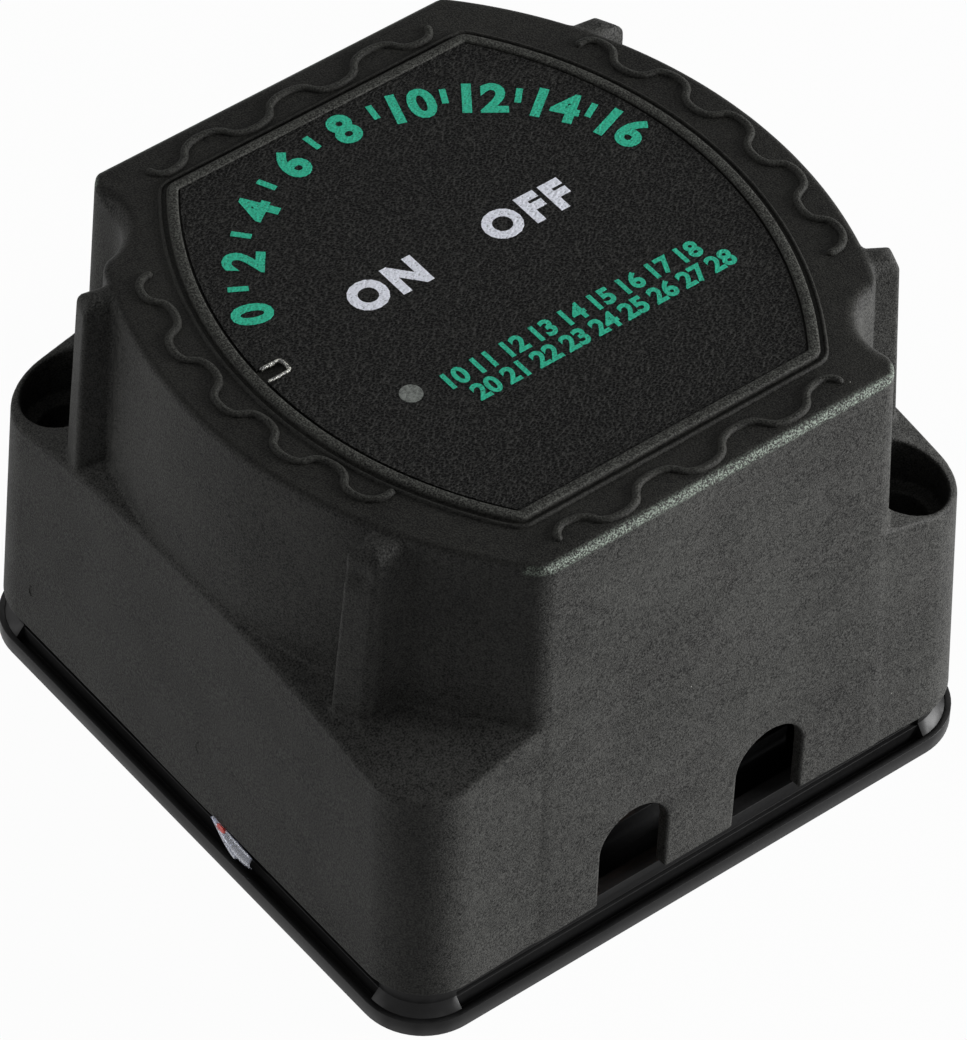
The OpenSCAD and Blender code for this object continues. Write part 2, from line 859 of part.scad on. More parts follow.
module circuit_board() {
    color(board_green)
        difference() {
            box(-board_l / 2, board_l / 2, -board_w / 2, board_w / 2, board_z, board_top_z);
            at_pillars()
                rod(screw_r + hole_gap, board_z - over, board_top_z + over);
            for (side = [-1, 1]) {
                translate([side * pin_x, pin_y, 0])
                    rod(pin_r + hole_gap, board_z - over, board_top_z + over);
                translate([side * sense_x, sense_y, 0])
                    rod(sense_wire_r + hole_gap, board_z - over, board_top_z + over);
            }
            translate([earth_x, earth_y, 0])
                rod(earth_wire_r + hole_gap, board_z - over, board_top_z + over);
        }
}

module board_screws() {
    color(steel)
        at_pillars()
            screw(board_top_z, board_t + screw_depth - hole_gap, 1);
}

// Lamp with a round top, below the lens in the cover
module indicator_led() {
    color([0.85, 0.2, 0.15])
        translate([led_x, led_y, 0]) {
            rod(led_r, board_top_z, board_top_z + led_h - led_r);
            translate([0, 0, board_top_z + led_h - led_r])
                sphere(r = led_r);
            rod(led_r * 1.2, board_top_z, board_top_z + led_r / 2);
        }
}

// Places its children on the board, at shares of its length and width
module on_board(shares) {
    translate([shares[0] * board_l, shares[1] * board_w, board_top_z])
        children();
}

// Block with its middle on the axis and its underside at zero
module block(size) {
    translate([-size[0] / 2, -size[1] / 2, 0])
        cube(size);
}

// Gull-wing leads along both long sides of the chip
module control_chip() {
    lead_pitch = chip_size[0] / 3.85;
    lead_w = chip_size[0] / 12;
    lead_out = chip_size[1] / 3.9;
    on_board(chip_place_shares) {
        color([0.12, 0.12, 0.13])
            block(chip_size);
        color(silver)
            for (k = [-1.5 : 1 : 1.5])
                translate([k * lead_pitch, 0, 0])
                    block([lead_w, chip_size[1] + 2 * lead_out, chip_size[2] / 4]);
    }
}

module driver_transistor() {
    tab_reach = transistor_size[1] / 4;
    on_board(transistor_place_shares) {
        color([0.12, 0.12, 0.13])
            block(transistor_size);
        color(silver)
            translate([0, transistor_size[1] / 2, 0])
                block([transistor_size[0] * 0.85, 2 * tab_reach, transistor_size[2] / 4]);
    }
}

module flyback_diode() {
    on_board(diode_place_shares) {
        color([0.15, 0.15, 0.16])
            block(diode_size);
        color(silver)
            block([diode_size[0] * 1.25, diode_size[1] * 0.6, diode_size[2] / 5]);
    }
}

module chip_resistors() {
    color([0.1, 0.1, 0.11])
        for (row = resistor_row_shares, k = [0 : 3])
            on_board(row + [0, k * resistor_step_share])
                block(resistor_size);
}

module chip_capacitors() {
    color([0.72, 0.6, 0.44])
        for (k = [0 : 2])
            on_board(capacitor_row_shares + [0, k * capacitor_step_share])
                rotate([0, 0, 90])
                    block(capacitor_size);
}

module smoothing_capacitor() {
    color(silver)
        on_board(can_place_shares)
            rod(can_r, 0, can_h);
}

// Stiff wires from the terminal bars up to the board
module sense_wires() {
    color([0.75, 0.1, 0.08])
        for (side = [-1, 1])
            translate([side * sense_x, sense_y, 0])
                rod(sense_wire_r, bar_top_z, wire_top_z);
}

// Earth blade: a foot on the boss and an upright tab
module earth_blade() {
    color(brass)
        translate([-blade_x, -blade_y, blade_foot_z]) {
            box(-blade_w / 2, blade_w / 2, -blade_foot_l / 2, blade_foot_l / 2, 0, blade_t);
            box(-blade_w / 2, blade_w / 2, -blade_t / 2, blade_t / 2, blade_t / 2, blade_h);
        }
}

module earth_wire() {
    color([0.05, 0.05, 0.05])
        translate([earth_x, earth_y, 0])
            rod(earth_wire_r, blade_foot_z + blade_t, wire_top_z);
}

// Cover

function front_half(z) = cover_half - (z - cover_bottom_z) * tan(front_draft);
function side_half(z) = cover_half - (z - cover_bottom_z) * tan(side_draft);
function wall_r(z) = arc_foot_r - max(z - ledge_z, 0) * tan(arc_draft);

// Points of a rounded top edge that leaves the wall at reach and ends at the height top
function round_edge(reach, top, r) = [
    for (k = [0 : fillet_steps])
        [reach - r * (1 - cos(90 * k / fillet_steps)), top - r + r * sin(90 * k / fillet_steps)]
];

// Body of revolution behind one round wall
module wall_solid(side, inset, top, r) {
    translate([-side * arc_centre_x, -side * arc_centre_y, 0])
        rotate_extrude($fn = arc_fn)
            polygon(concat(
                [
                    [0, pocket_floor_z],
                    [arc_foot_r - inset, pocket_floor_z],
                    [arc_foot_r - inset, ledge_z]
                ],
                round_edge(wall_r(top - r) - inset, top, r),
                [[0, top]]
            ));
}

// Slab between the front and back faces
module slab_solid(inset, top, r) {
    right = round_edge(front_half(top - r) - inset, top, r);
    low = pocket_floor_z;
    rotate([90, 0, 90])
        linear_extrude(height = 4 * cover_half, center = true)
            polygon(concat(
                [[-front_half(low) + inset, low], [front_half(low) - inset, low]],
                right,
                [for (k = [len(right) - 1 : -1 : 0]) [-right[k][0], right[k][1]]]
            ));
}

// Upper body of the case, inside its two round walls and two flat faces
module upper_body(inset, top, r) {
    intersection() {
        wall_solid(-1, inset, top, r);
        wall_solid(1, inset, top, r);
        slab_solid(inset, top, r);
    }
}

// Square lower body with drafted faces and round corners
module skirt_body(inset, z0, z1) {
    hull()
        for (x = [-1, 1], y = [-1, 1], z = [z0, z1])
            translate([x * (side_half(z) - cover_corner_r), y * (front_half(z) - cover_corner_r), z])
                cylinder(r = cover_corner_r - inset, h = seat_gap, $fn = 32);
}

// Space below the two sloping ledges, lowered by drop
module under_ledges(drop) {
    reach = 2 * cover_half;
    intersection() {
        ledge_cone(-1, drop, reach);
        ledge_cone(1, drop, reach);
    }
}

module ledge_cone(side, drop, reach) {
    fall = (reach - arc_foot_r) * tan(ledge_fall);
    translate([-side * arc_centre_x, -side * arc_centre_y, 0])
        rotate_extrude($fn = arc_fn)
            polygon([
                [0, 0],
                [reach, 0],
                [reach, ledge_z - drop - fall],
                [arc_foot_r, ledge_z - drop],
                [0, ledge_z - drop]
            ]);
}

// One rib on a round wall: its end follows the wall, and its two sides run along X
module rib(side, way) {
    top = cover_top_z - rib_drop;
    low = pocket_floor_z;
    foot = arc_foot_r + rib_foot_out;
    head = wall_r(top) + rib_top_out;
    middle = way > 0 ? cover_half - rib_ledge_inset : rib_pocket_inset - cover_half;
    translate([-side * arc_centre_x, -side * arc_centre_y, 0])
        intersection() {
            rotate_extrude($fn = arc_fn)
                polygon([
                    [arc_foot_r - cover_wall / 2, low],
                    [foot, low],
                    [foot, ledge_z],
                    [head, top - rib_nose],
                    [head - rib_nose, top],
                    [wall_r(top) - cover_wall / 2, top]
                ]);
            translate([side * foot / 2, side * (middle + arc_centre_y), (low + top) / 2])
                cube([foot, rib_w, top - low + over], center = true);
        }
}

module arch_cut(side) {
    translate([side * stud_x, 0, 0]) {
        translate([0, 0, arch_spring_z])
            rotate([90, 0, 0])
                cylinder(r = arch_r, h = cover_half + over);
        box(-arch_r, arch_r, -cover_half - over, 0, cover_bottom_z - over, arch_spring_z);
    }
}

// Outline of the label or of its border: two round sides and two straight ends
module label_outline(half_x, half_y, r) {
    intersection() {
        square([2 * half_x + over, 2 * half_y], center = true);
        translate([half_x - r, 0])
            circle(r = r, $fn = arc_fn);
        translate([r - half_x, 0])
            circle(r = r, $fn = arc_fn);
    }
}

// Small key that reaches from the border into the left side of the label
module key_outline(gap) {
    translate([-border_half_x + border_w / 2, key_y - key_w / 2 - gap])
        square([border_w / 2 + film_gap + key_l + gap, key_w + 2 * gap]);
}

// Everything inside the cover's outer faces
module cover_outside() {
    upper_body(0, cover_top_z, top_fillet_r);
    intersection() {
        skirt_body(0, cover_bottom_z, ledge_z);
        under_ledges(0);
    }
    intersection() {
        for (side = [-1, 1], way = [-1, 1])
            rib(side, way);
        skirt_body(0, pocket_floor_z, cover_top_z);
    }
    translate([0, 0, cover_top_z - over])
        linear_extrude(height = border_h + over)
            label_outline(border_half_x, border_half_y, border_arc_r);
}

// The hollow of the cover, which leaves the posts standing
module cover_inside() {
    difference() {
        union() {
            upper_body(cover_wall, inner_top_z, cover_wall / 2);
            intersection() {
                skirt_body(cover_wall, cover_bottom_z - over, ledge_z);
                under_ledges(ledge_wall);
            }
        }
        at_mounts() {
            rod(pocket_r + cover_wall, pocket_floor_z - pocket_floor_t, cover_top_z);
            rod(post_r, tray_boss_h + seat_gap, pocket_floor_z);
        }
    }
}

module cover() {
    color(black_plastic)
        difference() {
            cover_outside();
            cover_inside();
            at_mounts() {
                rod(pocket_r, pocket_floor_z, border_z + over);
                rod(mount_hole_r, tray_boss_h - over, pocket_floor_z + over);
            }
            for (side = [-1, 1])
                arch_cut(side);
            // Recess of the label, with the key left standing
            translate([0, 0, film_z])
                linear_extrude(height = border_h + over)
                    difference() {
                        label_outline(label_half_x + film_gap, label_half_y + film_gap,
                            label_arc_r + film_gap);
                        key_outline(0);
                    }
            translate([led_x, led_y, 0])
                rod(lens_r + running_gap, inner_top_z - over, border_z);
        }
}

module label_film() {
    color(label_black)
        translate([0, 0, film_z])
            linear_extrude(height = film_t)
                difference() {
                    label_outline(label_half_x, label_half_y, label_arc_r);
                    key_outline(film_gap);
                    translate([led_x, led_y])
                        circle(r = lens_r + running_gap);
                }
}

// Clear plug that shows the indicator in the top face
module led_lens() {
    color([0.5, 0.52, 0.5])
        translate([led_x, led_y, 0]) {
            rod(lens_r, lens_z0, lens_z1);
            rod(lens_flange_r, lens_z0, inner_top_z);
        }
}

base_tray();
relay_housing();
housing_screws();
terminal_bar(-1);  // terminal_bar_left
terminal_bar(1);  // terminal_bar_right
terminal_stud(-1);  // terminal_stud_left
terminal_stud(1);  // terminal_stud_right
flat_washers();
spring_washers();
terminal_nuts();
fixed_contacts();
yoke();
yoke_screws();
fixed_core();
coil_bobbin();
coil_winding();
winding_tape();
coil_pins();
board_pillars();
circuit_board();
board_screws();
indicator_led();
control_chip();
driver_transistor();
flyback_diode();
chip_resistors();
chip_capacitors();
smoothing_capacitor();
sense_wires();
earth_blade();
earth_wire();
return_spring();
armature_plate();
plunger_shaft();
contact_bridge();
moving_contacts();
contact_spring();
shaft_clip();
cover();
label_film();
led_lens();
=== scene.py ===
"""Looks of the battery isolator relay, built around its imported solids.
Shapes are worked out in millimetres and put into the meshes in metres."""
import json
import math

import bmesh
import bpy
import numpy as np
from mathutils import Matrix


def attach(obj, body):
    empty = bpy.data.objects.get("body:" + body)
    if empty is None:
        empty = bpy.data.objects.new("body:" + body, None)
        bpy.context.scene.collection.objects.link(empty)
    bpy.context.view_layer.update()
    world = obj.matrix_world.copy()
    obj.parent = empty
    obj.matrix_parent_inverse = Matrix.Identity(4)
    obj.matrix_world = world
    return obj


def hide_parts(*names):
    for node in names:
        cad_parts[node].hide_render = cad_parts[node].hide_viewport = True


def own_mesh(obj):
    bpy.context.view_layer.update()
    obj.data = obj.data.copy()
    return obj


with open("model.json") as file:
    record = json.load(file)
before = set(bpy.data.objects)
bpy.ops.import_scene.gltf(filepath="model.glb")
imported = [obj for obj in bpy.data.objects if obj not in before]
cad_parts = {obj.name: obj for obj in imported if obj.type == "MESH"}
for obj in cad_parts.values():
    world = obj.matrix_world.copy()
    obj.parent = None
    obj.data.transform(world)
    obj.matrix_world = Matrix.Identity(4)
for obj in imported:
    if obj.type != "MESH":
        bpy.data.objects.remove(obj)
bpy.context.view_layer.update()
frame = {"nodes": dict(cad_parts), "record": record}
MM = 0.001
TURN = 2 * math.pi

# The cover, in millimetres: heights of its foot, of the ledges at the round walls and of its top face,
# half the skirt's width at the foot, the skirt's corner radius, and the thickness of the walls
BOTTOM_Z, LEDGE_Z, TOP_Z = 5.0, 33.0, 52.9
HALF, CORNER, WALL = 33.6, 6.4, 2.0

# How far the front and back, the two sides and the round walls lean in for each millimetre of height
FRONT_DRAFT, SIDE_DRAFT, ARC_DRAFT = 0.0454, 0.02095, 0.0437

# The front of the skirt is drawn in at the foot: how far, half how wide, below which height, over what rise
BOW, BOW_X, BOW_Z, BOW_RISE = 0.35, 26, 12, 7

# The round side walls' centres and radius, and the ledges' fall outwards with its cosine
ARC_X, ARC_Y, ARC_R = 14.35, 1.2, 47.2
LEDGE_FALL, LEDGE_COSINE = 0.364, 0.94

# The screw pockets, with the thickness of their floors, and the tubes and holes under them
POCKET_XY, POCKET_R, POCKET_Z, POCKET_FLOOR = 27.0, 4.72, 26.7, 2.2
TUBE_R, TUBE_Z, SCREW_R = 5.2, 8.05, 3.25

# The radii of the cover's edges: along the ledges, the top's front and back, the top's sides, the
# upright corners of the round walls, the screw holes, and all its small edges
LEDGE_EDGE, FRONT_BROW, SIDE_BROW, UPRIGHT_EDGE = 0.35, 1.0, 0.7, 0.8
HOLE_EDGE, SMALL_EDGE = 0.25, 0.3

# How much rounder the pockets' edges grow on the round walls, from which height and over what rise
SCOOP_EDGE, SCOOP_Z, SCOOP_RISE = 1.4, 33.5, 3

# The cable arches, which cut the front wall only from ARCH_BACK outwards
ARCH_X, ARCH_R, ARCH_Z, ARCH_BACK = 8.0, 3.95, 11.7, 28

# The ribs: the row of those on a wide ledge, the turn of those beside a pocket, their width and top,
# their reach at the ledge and its lean, how their sides draw together upwards and outwards, how their
# top falls outwards from its root, where they start in the wall, and the radii of their edges and feet
RIB_ROW, RIB_TURN, RIB_W, RIB_TOP = 20.05, math.radians(21.6), 3.2, 52.6
RIB_REACH, RIB_LEAN = 3.0, 0.055
RIB_FLARE, RIB_TAPER, RIB_NARROWING = 0.3, 0.014, 0.12
RIB_FALL, RIB_ROOT = 0.06, 46
RIB_INNER, RIB_FOOT_Z = 46.2, 27.5
RIB_EDGE, RIB_BROW, RIB_FOOT = 0.42, 1.3, 0.4

# The shallow hollow in the end of each rib on a wide ledge
SINK, SINK_Z, SINK_HIGH, SINK_WIDE = 0.4, 49.3, 1.0, 1.1

# The film's top, the middle of the print on it and half the print's thickness
FILM_Z = 53.25
PRINT_Z = FILM_Z + 0.016
INK = 0.012

# The moulded waves' half width and height
WAVE_W, WAVE_H = 0.4, 0.38

# Inside: the relay's axis, the studs' places and sizes, and their thread
AXIS_Y = 4.0
STUD_X, STUD_Y, STUD_R, STUD_TOP, HEAD_TOP = 8.0, -20.5, 3.0, 26.2, 6.2
PITCH, GROOVE, TIP = 1.0, 0.55, 0.5


# Camera

def place_camera(azimuth, elevation, roll, target, distance, lens):
    """A camera that looks at the target from the azimuth, counted from the -Y side, and the
    elevation, then is rolled about its own line of sight."""
    a, e, r = map(math.radians, (azimuth, elevation, roll))
    back = np.array([math.sin(a) * math.cos(e), -math.cos(a) * math.cos(e), math.sin(e)])
    right = np.cross(-back, [0, 0, 1])
    right /= np.linalg.norm(right)
    up = np.cross(right, -back)
    across = math.cos(r) * right + math.sin(r) * up
    upward = -math.sin(r) * right + math.cos(r) * up
    data = bpy.data.cameras.new("camera")
    data.lens = lens
    data.sensor_width = 36
    data.clip_start = 0.01
    camera = bpy.data.objects.new("camera", data)
    bpy.context.scene.collection.objects.link(camera)
    matrix = np.eye(4)
    matrix[:3, 0], matrix[:3, 1], matrix[:3, 2] = across, upward, back
    matrix[:3, 3] = (np.array(target) + back * distance) * MM
    camera.matrix_world = Matrix(matrix.tolist())
    bpy.context.scene.camera = camera


place_camera(azimuth=-40.08, elevation=46.92, roll=2.61, target=(-2.49, -3.55, 25.0), distance=663.38,
             lens=249.87)


# Materials

def node(tree, kind, inputs=None, **settings):
    """A shader node with its settings, and with each named input set to a value or linked."""
    made = tree.nodes.new("ShaderNode" + kind)
    for key, value in settings.items():
        setattr(made, key, value)
    for key, value in (inputs or {}).items():
        if isinstance(value, bpy.types.NodeSocket):
            tree.links.new(value, made.inputs[key])
        else:
            made.inputs[key].default_value = value
    return made


def ramp(tree, value, low, high, to_low=0.0, to_high=1.0):
    """Values from low to high are spread evenly over to_low to to_high, and held there beyond."""
    return node(tree, "MapRange", {"Value": value, "From Min": low, "From Max": high, "To Min": to_low,
                                   "To Max": to_high}).outputs["Result"]


def ramp_mm(tree, value, low, high):
    """A place between two places in millimetres, spread over nought to one."""
    return ramp(tree, value, low * MM, high * MM)


def reckon(tree, operation, *values):
    """The result of one Math node."""
    return node(tree, "Math", dict(enumerate(values)), operation=operation).outputs[0]


def blank(name, colour, roughness, metallic=0.0, specular=0.5):
    """A material with one Principled shader. Returns it with its tree, its shader and a socket that
    holds object coordinates."""
    material = bpy.data.materials.new(name)
    material.use_nodes = True
    tree = material.node_tree
    shader = tree.nodes["Principled BSDF"]
    shader.inputs["Base Color"].default_value = (*colour, 1)
    shader.inputs["Roughness"].default_value = roughness
    shader.inputs["Metallic"].default_value = metallic
    shader.inputs["Specular IOR Level"].default_value = specular
    place = node(tree, "TexCoord").outputs["Object"]
    return material, tree, shader, place


def mix(tree, share, first, second):
    """A colour that goes from the first to the second as the share rises."""
    made = node(tree, "Mix", data_type="RGBA")
    for index, value in ((0, share), (6, first), (7, second)):
        if isinstance(value, bpy.types.NodeSocket):
            tree.links.new(value, made.inputs[index])
        else:
            made.inputs[index].default_value = value if index == 0 else (*value, 1)
    return made.outputs[2]


def noise(tree, place, size_mm, detail=2.0, roughness=0.5, stretch=None):
    """Soft noise whose lumps are about the given size."""
    if stretch is not None:
        place = node(tree, "Mapping", {"Vector": place, "Scale": stretch}).outputs["Vector"]
    return node(tree, "TexNoise", {"Vector": place, "Scale": 1 / (size_mm * MM), "Detail": detail,
                                   "Roughness": roughness}).outputs["Fac"]


def specks(tree, place, spacing_mm, radius_mm, share):
    """Nought or one: small round spots, one in each cell, kept in the given share of the cells."""
    cell = node(tree, "TexVoronoi", {"Vector": place, "Scale": 1 / (spacing_mm * MM)})
    near = reckon(tree, "LESS_THAN", cell.outputs["Distance"], radius_mm / spacing_mm)
    parts = node(tree, "SeparateColor", {"Color": cell.outputs["Color"]})
    kept = reckon(tree, "LESS_THAN", parts.outputs[0], share)
    return reckon(tree, "MULTIPLY", near, kept)


def bump(tree, shader, height, depth_mm):
    """The height, from nought to one, stands out of the surface by the given depth."""
    made = node(tree, "Bump", {"Height": height, "Distance": depth_mm * MM, "Strength": 1.0})
    tree.links.new(made.outputs["Normal"], shader.inputs["Normal"])


def grained_plastic(name, dark, pale, roughness, grain_mm, depth_mm, specular=0.5, dust=0.0):
    """Moulded plastic with a fine spark-eroded grain, cloudy patches and some dust."""
    material, tree, shader, place = blank(name, dark, roughness, specular=specular)
    grain = noise(tree, place, grain_mm, 3.0, 0.6)
    cloud = noise(tree, place, 14.0, 3.0, 0.6)
    tone = reckon(tree, "MULTIPLY", ramp(tree, grain, 0.3, 0.7), ramp(tree, cloud, 0.25, 0.75))
    colour = mix(tree, tone, dark, pale)
    if dust:
        colour = mix(tree, specks(tree, place, 2.6, 0.07, dust), colour, (0.3, 0.3, 0.29))
    tree.links.new(colour, shader.inputs["Base Color"])
    worn = ramp(tree, cloud, 0.2, 0.8, roughness - 0.07, roughness + 0.07)
    tree.links.new(worn, shader.inputs["Roughness"])
    bump(tree, shader, grain, depth_mm)
    return material


def cover_plastic(name):
    """The cover's plastic: a coarse spark-eroded grain that shows as fine mottling, dust, painted shade
    that colours the top face darker than the walls, and painted highlights in pale sparkling spots on the
    top's front and back edges and on the crests of the raised border and beads."""
    material, tree, shader, place = blank(name, (0.03, 0.03, 0.029), 0.6, specular=0.07)
    grain = noise(tree, place, 0.17, 2.0, 0.6)
    blotch = noise(tree, place, 0.7, 3.0, 0.6)
    cloud = noise(tree, place, 11.0, 3.0, 0.6)
    tone = reckon(tree, "MULTIPLY_ADD", grain, 1.6, -0.45)
    tone = reckon(tree, "MULTIPLY_ADD", blotch, 0.55, tone)
    tone = reckon(tree, "MULTIPLY_ADD", cloud, 0.4, tone)
    tone = ramp(tree, tone, 0.52, 1.12)
    wall = mix(tree, tone, (0.003, 0.003, 0.0029), (0.056, 0.056, 0.053))
    # Painted shade: the top face gets a colour about half as bright as the walls', with the same mottling
    shaded_roof = mix(tree, tone, (0.0015, 0.0015, 0.0014), (0.027, 0.027, 0.0245))
    parts = node(tree, "SeparateXYZ", {"Vector": place})
    height = parts.outputs["Z"]
    colour = mix(tree, ramp_mm(tree, height, TOP_Z - 0.4, TOP_Z - 0.1), wall, shaded_roof)
    # Painted highlight: a pale greenish band, broken into sparkles by fine noise, along the brow of the
    # top's front and back edges
    over_edge = ramp_mm(tree, height, TOP_Z - 1.05, TOP_Z - 0.7)
    under_top = ramp_mm(tree, height, TOP_Z - 0.05, TOP_Z - 0.3)
    at_ends = ramp_mm(tree, reckon(tree, "ABSOLUTE", parts.outputs["Y"]), 29.8, 30.2)
    edge = reckon(tree, "MULTIPLY", reckon(tree, "MULTIPLY", over_edge, under_top), at_ends)
    painted_sparkle = ramp(tree, noise(tree, place, 0.16, 1.0, 0.5), 0.42, 0.66)
    colour = mix(tree, reckon(tree, "MULTIPLY", edge, painted_sparkle), colour, (0.2, 0.235, 0.2))
    # Painted highlight: paler sparkles on the crests of the raised border and the beads, which stand above
    # the top face
    crest = ramp_mm(tree, height, TOP_Z + 0.2, TOP_Z + 0.5)
    colour = mix(tree, reckon(tree, "MULTIPLY", crest, painted_sparkle), colour, (0.075, 0.077, 0.07))
    colour = mix(tree, specks(tree, place, 1.9, 0.06, 0.05), colour, (0.26, 0.26, 0.24))
    tree.links.new(colour, shader.inputs["Base Color"])
    tree.links.new(ramp(tree, blotch, 0.3, 0.7, 0.5, 0.66), shader.inputs["Roughness"])
    bump(tree, shader, grain, 0.07)
    return material


def leather_height(tree, place):
    """The film's grain: wrinkles between stretched cells, broken up by soft noise."""
    bent = node(tree, "Mapping", {"Vector": place, "Rotation": (0, 0, 0.5),
                                  "Scale": (1, 1.6, 1)}).outputs["Vector"]
    cells = node(tree, "TexVoronoi", {"Vector": bent, "Scale": 1 / (0.36 * MM)},
                 feature="F1").outputs["Distance"]
    soft = noise(tree, bent, 0.26, 2.0, 0.6)
    return reckon(tree, "MULTIPLY_ADD", soft, 1.4, cells)


def leather_film(name):
    """Printed film with a fine leather grain, coloured near black in the grain's hollows and paler on its
    crests as painted shade and painted highlight.
    """
    material, tree, shader, place = blank(name, (0.01, 0.01, 0.01), 0.52, specular=0.04)
    height = leather_height(tree, place)
    # Painted shade and highlight: the colour follows the grain's height, near black in the hollows and
    # paler on the crests
    shade = mix(tree, ramp(tree, height, 1.0, 1.7), (0.001, 0.001, 0.001), (0.032, 0.032, 0.03))
    shade = mix(tree, specks(tree, place, 2.0, 0.06, 0.08), shade, (0.3, 0.3, 0.3))
    tree.links.new(shade, shader.inputs["Base Color"])
    bump(tree, shader, height, 0.25)
    return material


def gloss_edge(name):
    """Shiny black plastic with a torn surface, for the small key's rim, with pale spots painted on as
    glints.
    """
    material, tree, shader, place = blank(name, (0.04, 0.04, 0.035), 0.2, specular=0.8)
    rough = noise(tree, place, 0.25, 3.0, 0.7)
    # Painted highlight: pale spots in the rim's colour stand for its glints
    tree.links.new(mix(tree, ramp(tree, rough, 0.5, 0.62), (0.03, 0.03, 0.028), (0.5, 0.5, 0.44)),
                   shader.inputs["Base Color"])
    bump(tree, shader, rough, 0.12)
    return material


def clear_film(name):
    """Thin clear film with a bluish tint."""
    material, tree, shader, place = blank(name, (0.75, 0.78, 0.88), 0.12)
    shader.inputs["Transmission Weight"].default_value = 0.85
    bump(tree, shader, noise(tree, place, 1.2, 2.0, 0.5), 0.06)
    return material


def screen_print(name, colour):
    """Screen ink on the leather grain: matt, uneven, and darker in the deepest wrinkles."""
    material, tree, shader, place = blank(name, colour, 0.5, specular=0.3)
    height = leather_height(tree, place)
    worn = tuple(c * 0.35 for c in colour)
    tree.links.new(mix(tree, ramp(tree, height, 0.72, 0.98), worn, colour), shader.inputs["Base Color"])
    bump(tree, shader, height, 0.06)
    return material


def circuit_laminate(name):
    """Green solder mask over a weave, with paler copper tracks that show through it."""
    material, tree, shader, place = blank(name, (0.01, 0.16, 0.06), 0.3)
    tracks = node(tree, "TexBrick", {"Vector": place, "Scale": 1.0, "Mortar Size": 0.14 * MM,
                                     "Mortar Smooth": 0.2, "Brick Width": 9.3 * MM,
                                     "Row Height": 1.1 * MM}).outputs["Fac"]
    weave = noise(tree, place, 0.3, 2.0, 0.5)
    mask = mix(tree, ramp(tree, weave, 0.3, 0.7), (0.008, 0.13, 0.05), (0.016, 0.19, 0.08))
    tree.links.new(mix(tree, tracks, mask, (0.04, 0.34, 0.14)), shader.inputs["Base Color"])
    bump(tree, shader, tracks, 0.03)
    return material


def worked_metal(name, colour, roughness, stretch=(1, 1, 0.08)):
    """Metal with fine streaks, drawn out along the axis with the small stretch, and a cloudy tarnish."""
    material, tree, shader, place = blank(name, colour, roughness, metallic=1.0)
    streak = noise(tree, place, 0.25, 4.0, 0.6, stretch)
    cloud = noise(tree, place, 5.0, 3.0, 0.6)
    dull = tuple(c * 0.75 for c in colour)
    tree.links.new(mix(tree, ramp(tree, cloud, 0.35, 0.65), colour, dull), shader.inputs["Base Color"])
    rough = ramp(tree, streak, 0.3, 0.7, roughness - 0.08, roughness + 0.1)
    tree.links.new(rough, shader.inputs["Roughness"])
    bump(tree, shader, streak, 0.01)
    return material


cover_black = cover_plastic("cover_black")
tray_black = grained_plastic("tray_black", dark=(0.004, 0.004, 0.0041), pale=(0.009, 0.009, 0.0092),
                             roughness=0.42, grain_mm=0.35, depth_mm=0.006, specular=0.16, dust=0.05)
film_black = leather_film("film_black")
ink_teal = screen_print("ink_teal", (0.018, 0.4, 0.25))
ink_white = screen_print("ink_white", (0.75, 0.77, 0.85))
housing_black = grained_plastic("housing_black", dark=(0.006, 0.006, 0.0062),
                                pale=(0.014, 0.014, 0.0145), roughness=0.5, grain_mm=0.3, depth_mm=0.01,
                                specular=0.12)
bobbin_nylon = grained_plastic("bobbin_nylon", dark=(0.74, 0.72, 0.65), pale=(0.84, 0.82, 0.76),
                               roughness=0.45, grain_mm=0.5, depth_mm=0.005)
part_black = grained_plastic("part_black", dark=(0.02, 0.02, 0.021), pale=(0.04, 0.04, 0.04),
                             roughness=0.5, grain_mm=0.12, depth_mm=0.006)
part_tan = grained_plastic("part_tan", dark=(0.42, 0.31, 0.19), pale=(0.55, 0.42, 0.27), roughness=0.45,
                           grain_mm=0.1, depth_mm=0.003)
tape_yellow = grained_plastic("tape_yellow", dark=(0.7, 0.52, 0.1), pale=(0.82, 0.64, 0.18),
                              roughness=0.25, grain_mm=1.5, depth_mm=0.01)
wire_red = grained_plastic("wire_red", dark=(0.5, 0.03, 0.02), pale=(0.62, 0.05, 0.03), roughness=0.4,
                           grain_mm=0.6, depth_mm=0.004)
wire_black = grained_plastic("wire_black", dark=(0.02, 0.02, 0.02), pale=(0.035, 0.035, 0.035),
                             roughness=0.4, grain_mm=0.6, depth_mm=0.004)
board_green = circuit_laminate("board_green")
key_edge = gloss_edge("key_edge")
film_clear = clear_film("film_clear")
led_red = grained_plastic("led_red", dark=(0.6, 0.03, 0.02), pale=(0.75, 0.06, 0.04), roughness=0.15,
                          grain_mm=1.0, depth_mm=0.001)
lens_clear = grained_plastic("lens_clear", dark=(0.03, 0.035, 0.03), pale=(0.22, 0.24, 0.22),
                             roughness=0.22, grain_mm=0.3, depth_mm=0.05)
steel = worked_metal("steel", (0.6, 0.61, 0.62), roughness=0.32)
dark_steel = worked_metal("dark_steel", (0.28, 0.29, 0.3), roughness=0.42)
copper = worked_metal("copper", (0.8, 0.42, 0.26), roughness=0.3, stretch=(0.1, 1, 1))
brass = worked_metal("brass", (0.8, 0.62, 0.3), roughness=0.3)
silver = worked_metal("silver", (0.82, 0.82, 0.8), roughness=0.22)

